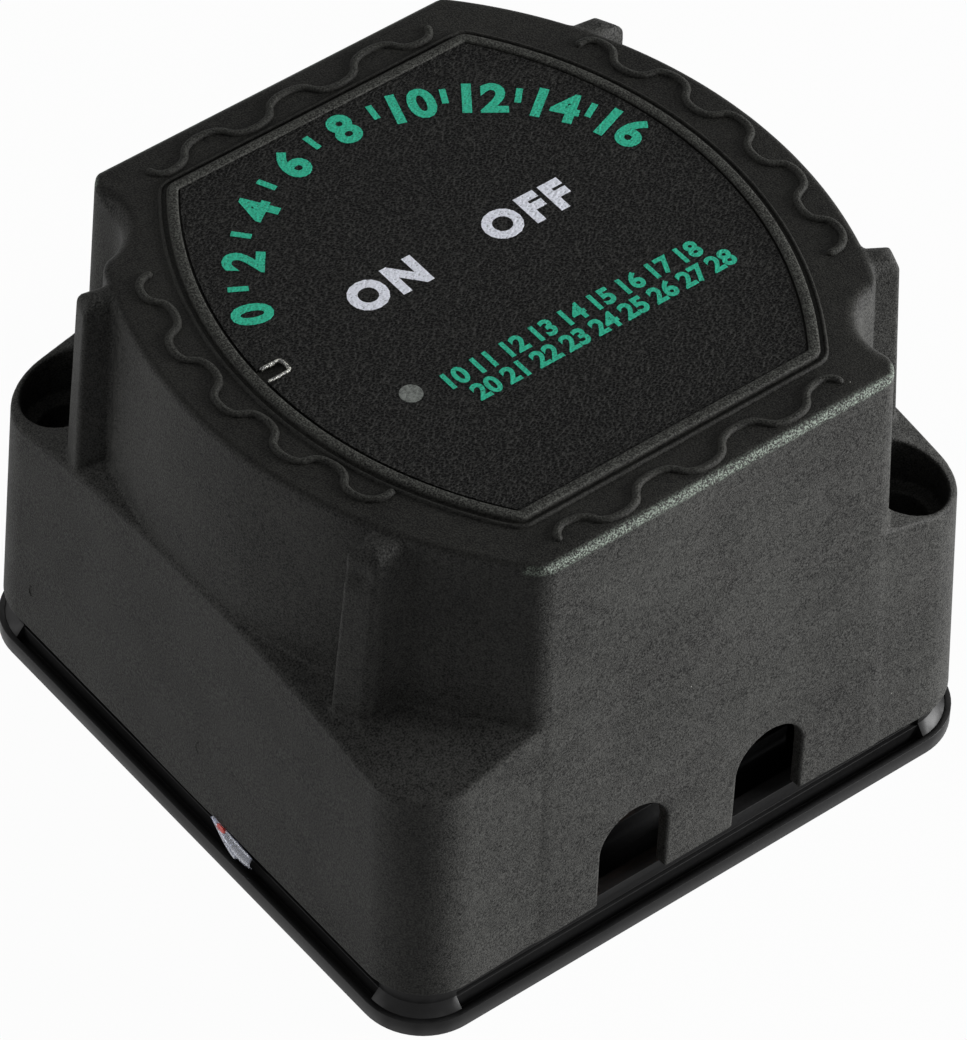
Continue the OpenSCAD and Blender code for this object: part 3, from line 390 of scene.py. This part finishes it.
# The finish of each slot in the record
FINISH = {
    "tray_black": tray_black, "cover_black": cover_black, "label_black": film_black,
    "housing_black": housing_black, "steel": steel, "dark_steel": dark_steel, "copper": copper,
    "brass": brass, "silver": silver, "bobbin_white": bobbin_nylon, "tape_yellow": tape_yellow,
    "board_green": board_green, "part_black": part_black, "part_tan": part_tan,
    "lens_clear": lens_clear, "led_red": led_red, "wire_red": wire_red, "wire_black": wire_black,
}
for part in frame["record"]["subparts"]:
    for held in frame["nodes"][part["node"]].material_slots:
        held.link = "OBJECT"
        held.material = FINISH[part["material_slot"]]


# Mesh helpers

def add_mesh(name, mesh, body, material, replaces=()):
    """The mesh becomes a piece that rides on the body, in place of the solids it replaces."""
    piece = bpy.data.objects.new(name, mesh)
    bpy.context.scene.collection.objects.link(piece)
    mesh.materials.clear()
    mesh.materials.append(material)
    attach(piece, body)
    if replaces:
        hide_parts(*replaces)
    return piece


def skin(name, points, rows_join, body, material):
    """A closed mesh over a grid of points. Each row is a closed ring. The rows either join round
    to the first again, or each end is closed by a pole at the middle of its ring. The faces are
    turned round if the volume they enclose comes out below nought."""
    rows, columns = points.shape[:2]
    index = np.arange(rows * columns).reshape(rows, columns)
    right = np.roll(index, -1, axis=1)
    if rows_join:
        below, below_right = np.roll(index, -1, axis=0), np.roll(right, -1, axis=0)
        quads = np.stack([index, right, below_right, below], -1).reshape(-1, 4)
        verts, caps = points.reshape(-1, 3), []
    else:
        quads = np.stack([index[:-1], right[:-1], right[1:], index[1:]], -1).reshape(-1, 4)
        poles = np.stack([points[0].mean(0), points[-1].mean(0)])
        verts = np.concatenate([points.reshape(-1, 3), poles])
        first = np.stack([right[0], index[0], np.full(columns, rows * columns)], -1)
        last = np.stack([index[-1], right[-1], np.full(columns, rows * columns + 1)], -1)
        caps = np.concatenate([first, last]).tolist()
    a, b, c, d = (verts[quads[:, i]] for i in range(4))
    volume = np.einsum("ij,ij->", np.cross(c - a, d - b), (a + b + c + d) / 4)
    faces = quads.tolist() + caps
    if volume < 0:
        faces = [face[::-1] for face in faces]
    mesh = bpy.data.meshes.new(name)
    mesh.from_pydata((verts * MM).tolist(), [], faces)
    mesh.polygons.foreach_set("use_smooth", np.ones(len(mesh.polygons), bool))
    mesh.update()
    return add_mesh(name, mesh, body, material)


def carried(path, z, section, closed):
    """A section of (sideways, upward) points carried along a level path. Sideways is to the right
    of the way the path runs, square to it at every point."""
    if closed:
        ahead = np.roll(path, -1, axis=0) - np.roll(path, 1, axis=0)
    else:
        ahead = np.gradient(path, axis=0)
    ahead /= np.linalg.norm(ahead, axis=1, keepdims=True)
    side = np.stack([ahead[:, 1], -ahead[:, 0]], -1)
    flat = path[:, None, :] + side[:, None, :] * section[..., :1]
    up = np.broadcast_to(section[..., 1:] + z, flat.shape[:2] + (1,))
    return np.concatenate([flat, up], -1)


# Cover

def round_max(a, b, r):
    """The larger of two distances, with the outer edge between them an arc of radius r."""
    return np.minimum(np.maximum(a, b), -r) + np.hypot(np.maximum(a + r, 0), np.maximum(b + r, 0))


def round_min(a, b, r):
    """The smaller of two distances, with the inner corner between them an arc of radius r."""
    return -round_max(-a, -b, r)


def skirt_distance(x, y, z):
    """Distance outside a square with round corners whose walls lean in as they rise. The front is
    drawn in by a parabola across it, which fades out over a few millimetres of height."""
    rise = z - BOTTOM_Z
    bow = BOW * np.clip(1 - (x / BOW_X) ** 2, 0, 1) * np.clip((BOW_Z - z) / BOW_RISE, 0, 1) * (y < 0)
    over_x = np.abs(x) - (HALF - SIDE_DRAFT * rise) + CORNER
    over_y = np.abs(y) - (HALF - FRONT_DRAFT * rise) + CORNER + bow
    outer = np.hypot(np.maximum(over_x, 0), np.maximum(over_y, 0))
    return outer + np.minimum(np.maximum(over_x, over_y), 0) - CORNER


def arc_reach(x, y):
    """Distance from the farther of the two centres that the round side walls are drawn about."""
    return np.maximum(np.hypot(x - ARC_X, y - ARC_Y), np.hypot(x + ARC_X, y + ARC_Y))


def body_distance(x, y, z):
    """The cover's outer form: the skirt under two falling ledges, and above them the round side
    walls with their lean, closed by the top face with a soft edge."""
    skirt, reach = skirt_distance(x, y, z), arc_reach(x, y)
    ledge = (z - LEDGE_Z + LEDGE_FALL * (reach - ARC_R)) * LEDGE_COSINE
    lower = round_max(skirt, ledge, LEDGE_EDGE)
    wall = reach - ARC_R + ARC_DRAFT * (z - LEDGE_Z)
    upper = np.maximum(round_max(skirt, z - TOP_Z, FRONT_BROW), round_max(wall, z - TOP_Z, SIDE_BROW))
    upper = np.maximum(upper, round_max(skirt, wall, UPRIGHT_EDGE))
    return round_min(lower, upper, LEDGE_EDGE)


def rib_distance(x, y, z, side, by_pocket):
    """One upright rib on a round wall. Its end is an arc about the wall's centre, its two sides draw
    together a little as it rises, and its top is almost level. The sides run along X on the wide
    ledge, where the end has a bell-shaped hollow, and towards the wall's centre beside a pocket."""
    out, along = side * x + ARC_X, side * y + ARC_Y
    reach = np.hypot(out, along)
    rise = np.maximum(z - LEDGE_Z, 0)
    if by_pocket:
        off_row, sink = along * math.cos(RIB_TURN) + out * math.sin(RIB_TURN), 0
    else:
        off_row = side * y - RIB_ROW
        sink = SINK * np.exp(-((z - SINK_Z) / SINK_HIGH) ** 2 - (off_row / SINK_WIDE) ** 2)
    end = reach - (ARC_R + RIB_REACH - RIB_LEAN * rise - sink)
    taper = RIB_FLARE - RIB_TAPER * rise - RIB_NARROWING * (reach - ARC_R)
    sides = np.abs(off_row) - (RIB_W / 2 + taper)
    top = z - RIB_TOP + RIB_FALL * (reach - RIB_ROOT)
    rib = round_max(round_max(end, sides, RIB_EDGE), top, RIB_BROW)
    return np.maximum(np.maximum(rib, RIB_INNER - reach), np.maximum(RIB_FOOT_Z - z, -side * x))


def cover_distance(x, y, z):
    """The whole cover: its form hollowed to an even wall, with the walls and tubes of the two
    pockets, then ribs added, and pockets, screw holes and cable arches taken out. The pockets' edges
    are rounder where they cut the round walls than where they cut the ledges."""
    form = body_distance(x, y, z)
    hollow = form + WALL
    pocket_gap = []
    for s in (1, -1):
        off = np.hypot(x - s * POCKET_XY, y + s * POCKET_XY)
        pocket_gap.append(off)
        cup = np.maximum(off - POCKET_R - WALL, POCKET_Z - POCKET_FLOOR - z)
        tube = np.maximum(off - TUBE_R, TUBE_Z - z)
        hollow = round_max(hollow, -np.minimum(cup, tube), SMALL_EDGE)
    shell = np.maximum(form, -hollow)
    for side in (1, -1):
        for by_pocket in (False, True):
            shell = round_min(shell, rib_distance(x, y, z, side, by_pocket), RIB_FOOT)
    soft = SMALL_EDGE + SCOOP_EDGE * np.clip((z - SCOOP_Z) / SCOOP_RISE, 0, 1)
    off = np.minimum(pocket_gap[0], pocket_gap[1])
    shell = round_max(shell, -round_max(off - POCKET_R, POCKET_Z - z, SMALL_EDGE), soft)
    shell = round_max(shell, SCREW_R - off, HOLE_EDGE)
    arch = np.hypot(np.abs(x) - ARCH_X, np.maximum(z - ARCH_Z, 0)) - ARCH_R
    shell = round_max(shell, -np.maximum(arch, y + ARCH_BACK), SMALL_EDGE)
    return round_max(shell, BOTTOM_Z - z, SMALL_EDGE)


def slope_of(distance, points, step=0.01):
    """The direction in which a distance grows, by differences of a small step."""
    shifts = np.eye(3) * step
    parts = [(distance(*(points + s).T) - distance(*(points - s).T)) / (2 * step) for s in shifts]
    return np.stack(parts, -1)


def surface_net(distance, xs, ys, zs):
    """Points and four-sided faces where a distance is nought. Each cell of the grid that the surface
    crosses gets one point, the mean of the crossings on its edges, and each grid edge that is
    crossed gets the face of the four cells round it. The points are then moved twice along the
    slope, to where the distance should be nought. The field is filled a few levels at a time."""
    axes = (xs, ys, zs)
    field = np.empty((len(xs), len(ys), len(zs)), np.float32)
    levels = 16
    for k in range(0, len(zs), levels):
        heights = zs[None, None, k:k + levels]
        field[:, :, k:k + levels] = distance(xs[:, None, None], ys[None, :, None], heights)
    cells = np.array(field.shape) - 1
    strides = np.array([cells[1] * cells[2], cells[2], 1])
    crossings, owners, quads = [], [], []
    for axis in range(3):
        low = np.take(field, range(cells[axis]), axis)
        high = np.take(field, range(1, cells[axis] + 1), axis)
        at = np.stack(np.nonzero((low < 0) != (high < 0)), -1)
        others = [i for i in range(3) if i != axis]
        at = at[np.all((at[:, others] > 0) & (at[:, others] < cells[others]), axis=1)]
        f0, f1 = low[tuple(at.T)], high[tuple(at.T)]
        share = f0 / (f0 - f1)
        spot = np.stack([axes[i][at[:, i]] for i in range(3)], -1).astype(float)
        spot[:, axis] += share * (axes[axis][at[:, axis] + 1] - axes[axis][at[:, axis]])
        first, second = strides[others[0]], strides[others[1]]
        base = at @ strides
        around = np.stack([base, base - first, base - first - second, base - second], -1)
        turn_back = (f0 < 0) ^ (axis == 1)
        around = np.where(turn_back[:, None], around, around[:, ::-1])
        quads.append(around)
        owners.append(around.ravel())
        crossings.append(np.repeat(spot, 4, axis=0))
    owners, crossings, quads = np.concatenate(owners), np.concatenate(crossings), np.concatenate(quads)
    used, ids = np.unique(owners, return_inverse=True)
    count = np.bincount(ids)
    points = np.stack([np.bincount(ids, crossings[:, i]) / count for i in range(3)], -1)
    for _ in range(2):
        slope = slope_of(distance, points)
        away = distance(*points.T)
        move = slope * (away / np.maximum((slope ** 2).sum(1), 0.25))[:, None]
        points -= np.clip(move, -0.2, 0.2)
    return points, np.searchsorted(used, quads)


def make_cover():
    """The cover as one closed mesh: fine where it has edges, thinned where it is flat but never
    across the sides of small cubes, with its normals taken from the slope of the distance. The
    cubes are told apart by a passing material number, odd and even along each axis. Each span of
    the grid's levels is a lower height, an upper height and a count, close where there are edges."""
    detail = 1.0
    reach, steps, off_level, cube = 34.3, 246, 0.013, 3.5
    across = np.linspace(-reach, reach, int(steps * detail))
    spans = ((4.55, 16.5, 40), (17.2, 24, 9), (24.3, 35.5, 42), (36.2, 47.5, 15), (47.8, 53.4, 22))
    rises = np.concatenate([np.linspace(low, high, int(n * detail)) for low, high, n in spans]) + off_level
    points, quads = surface_net(cover_distance, across, across, rises)
    mesh = bpy.data.meshes.new("cover_shell")
    mesh.from_pydata((points * MM).tolist(), [], quads.tolist())
    block = (np.floor(points[quads].mean(1) / cube).astype(int) % 2) @ (1, 2, 4)
    mesh.polygons.foreach_set("material_index", block.astype(np.int32))
    work = bmesh.new()
    work.from_mesh(mesh)
    bmesh.ops.dissolve_limit(work, angle_limit=math.radians(0.35), verts=work.verts, edges=work.edges,
                             delimit={"MATERIAL"})
    work.to_mesh(mesh)
    work.free()
    mesh.polygons.foreach_set("material_index", np.zeros(len(mesh.polygons), np.int32))
    mesh.polygons.foreach_set("use_smooth", np.ones(len(mesh.polygons), bool))
    spots = np.empty(len(mesh.vertices) * 3)
    mesh.vertices.foreach_get("co", spots)
    slope = slope_of(cover_distance, spots.reshape(-1, 3) / MM)
    slope /= np.maximum(np.linalg.norm(slope, axis=1, keepdims=True), 1e-6)
    mesh.normals_split_custom_set_from_vertices(slope.tolist())
    add_mesh("cover_shell", mesh, "cover", cover_black, ("cover",))


make_cover()


# Border, beads and marks on the cover

def arc_points(centre, radius, start, end, count):
    """Points on an arc from one angle to another, without its last point."""
    angle = np.linspace(start, end, count, endpoint=False)
    return np.stack([centre[0] + radius * np.cos(angle), centre[1] + radius * np.sin(angle)], -1)


def label_outline(half_x, half_y, side_r, corner_r):
    """The label's closed outline, counterclockwise: straight front and back, side arcs that bulge
    out, and small corner arcs that run smoothly into both."""
    side_x = half_x - side_r
    corner_x = side_x + math.sqrt((side_r - corner_r) ** 2 - (half_y - corner_r) ** 2)
    corner_y = half_y - corner_r
    lean = math.atan2(corner_y, corner_x - side_x)
    quarter = [arc_points((side_x, 0), side_r, -lean, lean, 120),
               arc_points((corner_x, corner_y), corner_r, lean, math.pi / 2, 12)]
    run = np.linspace(corner_x, -corner_x, 40, endpoint=False)
    quarter.append(np.stack([run, np.full(len(run), half_y)], -1))
    quarter.append(arc_points((-corner_x, corner_y), corner_r, math.pi / 2, math.pi - lean, 12))
    half = np.concatenate(quarter)
    return np.concatenate([half, -half])


border_path = label_outline(half_x=26.55, half_y=26.5, side_r=42.55, corner_r=2.2)

# The border's section, from its outer foot over a low bead and a groove to the flat crest and down
border_section = np.array([
    (0.12, -0.35), (0.1, -0.06), (0.03, 0.08), (-0.06, 0.22), (-0.16, 0.26), (-0.26, 0.22),
    (-0.32, 0.05), (-0.36, -0.12), (-0.5, -0.18), (-0.62, -0.12), (-0.68, 0.1), (-0.74, 0.34),
    (-0.84, 0.45), (-1.0, 0.49), (-1.55, 0.49), (-1.68, 0.46), (-1.76, 0.36), (-1.78, 0.2),
    (-1.8, -0.35)])
skin("label_border", carried(border_path, TOP_Z, border_section, True), True, "cover",
     cover_black)


def wave(start, end, period, height, steepness, hooks, outward):
    """A wave that swings to each side of its line and ends in hooks. Sideways it is a cosine of the
    way along; the way along runs a little ahead and behind by the sine of twice the phase, which
    makes the flanks steep and the bends round. Each hook is a quarter circle. Returns the way along
    and the way sideways."""
    run = np.linspace(start, end, 220)
    phase = TURN * (run - start) / period
    side = height * outward * np.cos(phase)
    along = run + steepness * np.sin(2 * phase)
    turn = np.linspace(0, math.pi / 2, 16)[1:]
    first, last = hooks
    lead_along, lead_side = start - first * np.sin(turn), side[0] - outward * first * (1 - np.cos(turn))
    tail_along, tail_side = end + last * np.sin(turn), side[-1] - outward * last * (1 - np.cos(turn))
    return (np.concatenate([lead_along[::-1], along, tail_along]),
            np.concatenate([lead_side[::-1], side, tail_side]))


def even_path(path, step):
    """The same path with points at even steps along its length."""
    length = np.concatenate([[0], np.cumsum(np.linalg.norm(np.diff(path, axis=0), axis=1))])
    marks = np.linspace(0, length[-1], max(8, int(length[-1] / step)))
    return np.stack([np.interp(marks, length, path[:, i]) for i in range(2)], -1), marks


def bead(name, path, half_width, height, z=TOP_Z, body="cover",
         material=cover_black, turned=None):
    """A raised bead with a half-round section, sunk a little below, and round ends along a level path:
    over the last half width the section's size follows a quarter circle down to almost nothing. The
    turn, if there is one, lays the finished points on another face."""
    step, smallest, sunk = 0.16, 0.02, 0.3
    path, marks = even_path(path, step)
    ends = np.minimum(marks, marks[-1] - marks) / half_width
    swell = np.sqrt(np.clip(1 - (1 - np.clip(ends, smallest, 1)) ** 2, 0, 1))
    angle = np.linspace(0, TURN, 15, endpoint=False)
    lift = np.where(np.sin(angle) > 0, height, sunk)
    section = np.stack([half_width * np.cos(angle), lift * np.sin(angle)], -1)
    points = carried(path, z, section[None] * swell[:, None, None], False)
    if turned is not None:
        points = points @ np.array(turned, float)
    skin(name, points, False, body, material)


along, side = wave(-14.0, 15.0, period=9.67, height=1.08, steepness=0.4, hooks=(1.5, 1.45), outward=-1)
bead("wave_front", np.stack([along, -29.05 - side], -1), WAVE_W, WAVE_H)
along, side = wave(-15.5, 13.5, period=9.67, height=1.05, steepness=0.4, hooks=(1.5, 1.5), outward=-1)
bead("wave_back", np.stack([along, 28.3 + side], -1), WAVE_W, WAVE_H)


def round_side(along_mm, side_mm, radius, s):
    """The wave's line bent round the centre of the right wall, or of the left one where s is below
    nought: along is an arc of the mean radius, sideways adds to the radius."""
    angle, reach = along_mm / radius, radius + side_mm
    return np.stack([s * (reach * np.cos(angle) - ARC_X), reach * np.sin(angle) - s * ARC_Y], -1)


along, side = wave(-16.06, 15.54, period=7.9, height=1.0, steepness=0.35, hooks=(2.3, 1.6), outward=1)
bead("wave_left", round_side(along, side, 42.8, -1), WAVE_W, WAVE_H)
along, side = wave(-13.44, 18.89, period=8.08, height=1.08, steepness=0.35, hooks=(2.3, 1.6), outward=1)
bead("wave_right", round_side(along, side, 44.0, 1), WAVE_W, WAVE_H)


# The key's shining rim, a small tongue from the border into the film
tongue = np.concatenate([[(-24.5, 0.62)], arc_points((-22.3, 1.0), 0.38, -math.pi / 2, 0, 8),
                         arc_points((-22.3, 1.85), 0.38, 0, math.pi / 2, 8), [(-24.2, 2.23)]])
bead("key_rim", tongue, half_width=0.17, height=0.17, z=FILM_Z - 0.03, material=key_edge)

# Crescent marks of the moulding on the left face, drawn level and then stood up on the face
STAND_LEFT = ((0, 1, 0), (0, 0, 1), (-1, 0, 0))
for name, y, z, bend in (("mark_back", 24.6, 10.6, 0.75), ("mark_front", -1.6, 12.3, 0.85)):
    crescent = arc_points((y - 0.2, z), bend, -1.2, 1.25, 14)
    bead(name, crescent, half_width=0.13, height=0.1, z=HALF - SIDE_DRAFT * (z - BOTTOM_Z) - 0.02,
         turned=STAND_LEFT)


def sliver(name, low_edge, high_edge, bulge, material):
    """A thin closed sheet on the left face, between two edges that start at one point: across the
    sheet points go from one edge to the other and back, and stand out by a half sine."""
    face_x, thickness = 33.62, 0.08
    share = np.linspace(0, 1, 9)
    there = low_edge[:, None] + (high_edge - low_edge)[:, None] * share[None, :, None]
    out = bulge * np.sin(math.pi * share) + 0 * there[..., 0]
    front = np.concatenate([-(face_x + out)[..., None], there], -1)
    back = front[:, ::-1] + (thickness, 0, 0)
    skin(name, np.concatenate([front, back], 1), False, "base", material)


# The sliver of clear film that pokes out under the cover: its lower and upper edge on the left face
lean = np.linspace(0, 1, 14)
low = np.stack([-3.9 - 5.9 * lean, 5.3 - 3.2 * np.sin(lean * math.pi * 0.62) + 0.9 * lean ** 2], -1)
high = np.stack([-3.9 - 5.9 * lean, 5.3 - 0.55 * lean - 0.1 * np.sin(lean * math.pi)], -1)
sliver("film_sliver", low, high, bulge=0.3, material=film_clear)
bead("film_sliver_edge", low[:9], half_width=0.16, height=0.14, z=33.72, body="base",
     material=ink_white, turned=STAND_LEFT)
red_line = np.array([(-4.6, 4.9), (-5.2, 4.75), (-5.9, 4.8)])
bead("film_sliver_red", red_line, half_width=0.34, height=0.12, z=33.74, body="base",
     material=led_red, turned=STAND_LEFT)


# Print on the label

def glyphs(text, height, thick, spread=1.0):
    """The points and faces of a text as a thin plate, its middle at nought. The built-in letters
    are thickened evenly, and their capitals are 0.73 of the letter size high."""
    curve = bpy.data.curves.new("letters", "FONT")
    curve.body = text
    curve.size = height / 0.73
    curve.offset = thick
    curve.space_character = spread
    curve.extrude = INK
    curve.align_x = "CENTER"
    curve.align_y = "CENTER"
    curve.resolution_u = 4
    holder = bpy.data.objects.new("letters", curve)
    bpy.context.scene.collection.objects.link(holder)
    mesh = bpy.data.meshes.new_from_object(holder.evaluated_get(bpy.context.evaluated_depsgraph_get()))
    spots = np.empty(len(mesh.vertices) * 3)
    mesh.vertices.foreach_get("co", spots)
    faces = [tuple(f.vertices) for f in mesh.polygons]
    bpy.data.objects.remove(holder)
    bpy.data.curves.remove(curve)
    bpy.data.meshes.remove(mesh)
    return spots.reshape(-1, 3), faces


def bar(width, height):
    """The points and faces of a small flat plate, its middle at nought."""
    x, y, z = width / 2, height / 2, INK
    spots = np.array([(-x, -y, -z), (x, -y, -z), (x, y, -z), (-x, y, -z),
                      (-x, -y, z), (x, -y, z), (x, y, z), (-x, y, z)])
    return spots, [(3, 2, 1, 0), (4, 5, 6, 7), (0, 1, 5, 4), (1, 2, 6, 5), (2, 3, 7, 6), (3, 0, 4, 7)]


def printed(name, marks, material):
    """Marks on the film: each is (points and faces, x, y, turn), turned and moved to its place."""
    spots, faces, count = [], [], 0
    for (shape, sides), x, y, turn in marks:
        c, s = math.cos(turn), math.sin(turn)
        turned = shape @ np.array([[c, s, 0], [-s, c, 0], [0, 0, 1]])
        spots.append(turned + (x, y, PRINT_Z))
        faces += [tuple(i + count for i in face) for face in sides]
        count += len(shape)
    mesh = bpy.data.meshes.new(name)
    mesh.from_pydata((np.concatenate(spots) * MM).tolist(), [], faces)
    mesh.update()
    add_mesh(name, mesh, "cover", material)


def dial_marks():
    """A dial: even numbers at even angles on an arc about the middle, with a tick between each pair
    on an arc that is a little wider than deep."""
    numbers = [str(n) for n in range(0, 18, 2)]
    number_r, tick_across, tick_deep = 21.9, 22.8, 22.6
    step = math.radians(139.0 / 8)
    marks = []
    for n, text in enumerate(numbers):
        angle = math.radians(158.5) - n * step
        marks.append((glyphs(text, height=3.7, thick=0.2), number_r * math.cos(angle),
                      number_r * math.sin(angle), angle - math.pi / 2))
        if n:
            angle += step / 2
            marks.append((bar(width=0.62, height=1.9), tick_across * math.cos(angle),
                          tick_deep * math.sin(angle), angle - math.pi / 2))
    return marks


def row_marks(texts, height, thick, start, end, y):
    """Texts at even places along a line."""
    places = np.linspace(start, end, len(texts))
    return [(glyphs(text, height, thick), x, y, 0) for text, x in zip(texts, places)]


teal = dial_marks()
teal += row_marks([str(n) for n in range(10, 19)], height=2.0, thick=0.1, start=-11.0, end=15.5, y=-8.9)
teal += row_marks([str(n) for n in range(20, 29)], height=2.0, thick=0.1, start=-9.4, end=17.3, y=-11.5)
printed("print_teal", teal, ink_teal)
printed("print_white", [(glyphs("ON", height=3.4, thick=0.26, spread=1.25), -8.7, 3.7, 0),
                        (glyphs("OFF", height=3.4, thick=0.26, spread=1.25), 7.2, 3.7, 0)], ink_white)


# Tray and the solids inside, with their edges rounded

def rounded_copy(name, nodes, body, material, width):
    """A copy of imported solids, merged and thinned where flat, with its sharp edges rounded."""
    work = bmesh.new()
    for one in nodes:
        work.from_mesh(frame["nodes"][one].data)
    bmesh.ops.remove_doubles(work, verts=work.verts, dist=2e-6)
    bmesh.ops.dissolve_limit(work, angle_limit=math.radians(0.6), verts=work.verts, edges=work.edges)
    mesh = bpy.data.meshes.new(name)
    work.to_mesh(mesh)
    work.free()
    mesh.polygons.foreach_set("use_smooth", np.ones(len(mesh.polygons), bool))
    piece = add_mesh(name, mesh, body, material, nodes)
    edge = piece.modifiers.new("edges", "BEVEL")
    edge.width = width * MM
    edge.segments = 2
    edge.limit_method = "ANGLE"
    edge.angle_limit = math.radians(28)
    edge.use_clamp_overlap = True
    edge.harden_normals = True
    edge.miter_outer = "MITER_ARC"


rounded_copy("tray", ["base_tray"], "base", tray_black, width=0.14)

# Each solid inside with its body, slot, material and the width of its rounding
for one, body, slot, material, width in (
        ("relay_housing", "base", "housing_black", housing_black, 0.25),
        ("yoke", "base", "dark_steel", dark_steel, 0.3),
        ("terminal_bar_left", "base", "copper", copper, 0.2),
        ("terminal_bar_right", "base", "copper", copper, 0.2),
        ("terminal_nuts", "base", "silver", silver, 0.2),
        ("flat_washers", "base", "silver", silver, 0.12),
        ("coil_bobbin", "base", "bobbin_white", bobbin_nylon, 0.2),
        ("board_pillars", "base", "brass", brass, 0.12),
        ("smoothing_capacitor", "base", "silver", silver, 0.3),
        ("control_chip", "base", "part_black", part_black, 0.08),
        ("driver_transistor", "base", "part_black", part_black, 0.1),
        ("earth_blade", "base", "brass", brass, 0.1),
        ("armature_plate", "armature", "dark_steel", dark_steel, 0.25),
        ("contact_bridge", "armature", "copper", copper, 0.2)):
    rounded_copy(one + "_soft", [one], body, material, width)


# Springs and threads

def spring(name, body, radius, wire_r, low, high, turns, replaced):
    """A compression spring on the relay's axis: a round wire on a helix whose first and last turn rise
    by one wire's thickness, closed on the turn beside them, with an even rise between."""
    share = np.linspace(0, 1, int(turns * 40) + 1)
    climb = np.clip((share * turns - 1) / (turns - 2), 0, 1)
    wire = wire_r * 0.98
    flat = 2 * wire * np.clip(share * turns, 0, 1) + 2 * wire * np.clip(share * turns - turns + 1, 0, 1)
    level = low + wire + climb * (high - low - 6 * wire) + flat
    angle = TURN * turns * share
    round_wire = np.linspace(0, TURN, 12, endpoint=False)
    reach = radius + wire * np.cos(round_wire)[None]
    points = np.stack([reach * np.cos(angle)[:, None], AXIS_Y + reach * np.sin(angle)[:, None],
                       level[:, None] + wire * np.sin(round_wire)[None]], -1)
    piece = skin(name, points, False, body, steel)
    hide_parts(replaced)
    return piece


coil = spring("return_coil", "base", radius=3.0, wire_r=0.3, low=30.0, high=38.2, turns=7.5,
              replaced="return_spring")
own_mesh(coil)
spring("contact_coil", "armature", radius=2.7, wire_r=0.3, low=13.9, high=18.7, turns=5.5,
       replaced="contact_spring")


def threaded_stud(name, x, y, replaced):
    """A bolt stood on its square head: rounded square rings for the head, then round rings whose
    radius falls and rises by a cosine of the height less the angle, one turn for each pitch, and a
    coned tip."""
    angle = np.linspace(0, TURN, 64, endpoint=False)
    square = 1 / np.maximum(np.abs(np.cos(angle)), np.abs(np.sin(angle)))
    square = np.minimum(square, 1.27)
    heads = ((3.6, 4.1), (3.85, 4.48), (5.95, 4.48), (HEAD_TOP, 4.2))
    rings = [(np.full(64, z), half * square) for z, half in heads]
    for z in np.arange(HEAD_TOP, STUD_TOP + 0.01, 0.1):
        groove = 0.5 - 0.5 * np.cos(TURN * z / PITCH - angle)
        cone = max(0.0, z - (STUD_TOP - TIP))
        rings.append((np.full(64, z), np.minimum(STUD_R - GROOVE * groove, STUD_R - cone)))
    points = np.stack([np.stack([x + r * np.cos(angle), y + r * np.sin(angle), z], -1) for z, r in rings])
    piece = skin(name, points, False, "base", brass)
    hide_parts(replaced)


threaded_stud("thread_left", -STUD_X, STUD_Y, "terminal_stud_left")
threaded_stud("thread_right", STUD_X, STUD_Y, "terminal_stud_right")


# Floor and light

def seen_rays(tree):
    """One for what the camera sees, straight, in gloss or through a clear piece, and nought for the
    light that falls on the object."""
    rays = node(tree, "LightPath")
    seen = reckon(tree, "MAXIMUM", rays.outputs["Is Camera Ray"], rays.outputs["Is Glossy Ray"])
    return reckon(tree, "MAXIMUM", seen, rays.outputs["Is Transmission Ray"])


def floor_white(white_share):
    """A matt grey floor that looks white where it is seen, and keeps part of its shading."""
    material, tree, shader, _ = blank("floor_white", (0.35, 0.35, 0.35), 0.9, specular=0.2)
    share = reckon(tree, "MULTIPLY", seen_rays(tree), white_share)
    glow = node(tree, "Emission", {"Color": (1, 1, 1, 1), "Strength": 1.0}).outputs[0]
    both = node(tree, "MixShader", {"Fac": share, 1: shader.outputs[0], 2: glow})
    tree.links.new(both.outputs[0], tree.nodes["Material Output"].inputs["Surface"])
    return material


# The floor, in metres
floor_mesh = bpy.data.meshes.new("floor")
floor_mesh.from_pydata([(-3, -3, 0), (3, -3, 0), (3, 3, 0), (-3, 3, 0)], [], [(0, 1, 2, 3)])
floor = bpy.data.objects.new("floor", floor_mesh)
bpy.context.scene.collection.objects.link(floor)
floor_mesh.materials.append(floor_white(0.97))

# The world looks white where it is seen, and lights the object with a fifth of that
world = bpy.data.worlds.new("studio")
bpy.context.scene.world = world
world.use_nodes = True
sky = world.node_tree
strength = ramp(sky, seen_rays(sky), 0.0, 1.0, 0.2, 1.0)
sky.links.new(strength, sky.nodes["Background"].inputs["Strength"])
sky.nodes["Background"].inputs["Color"].default_value = (1, 1, 1, 1)


def soft_box(name, direction, distance, size, power):
    """A square area lamp that faces the middle of the object."""
    data = bpy.data.lights.new(name, "AREA")
    data.shape = "SQUARE"
    data.size = size
    data.energy = power
    lamp = bpy.data.objects.new(name, data)
    bpy.context.scene.collection.objects.link(lamp)
    away = np.array(direction, float)
    away /= np.linalg.norm(away)
    across = np.cross([0, 0, 1], away)
    across /= np.linalg.norm(across)
    matrix = np.eye(4)
    matrix[:3, 0], matrix[:3, 1], matrix[:3, 2] = across, np.cross(away, across), away
    matrix[:3, 3] = away * distance + (0, 0, 0.025)
    lamp.matrix_world = Matrix(matrix.tolist())


soft_box("front_box", direction=(0.8, -0.58, 0.2), distance=0.7, size=0.3, power=12.2)
soft_box("left_box", direction=(-0.75, 0.55, 0.35), distance=0.7, size=0.4, power=1.8)

bpy.context.scene.view_settings.view_transform = "Standard"
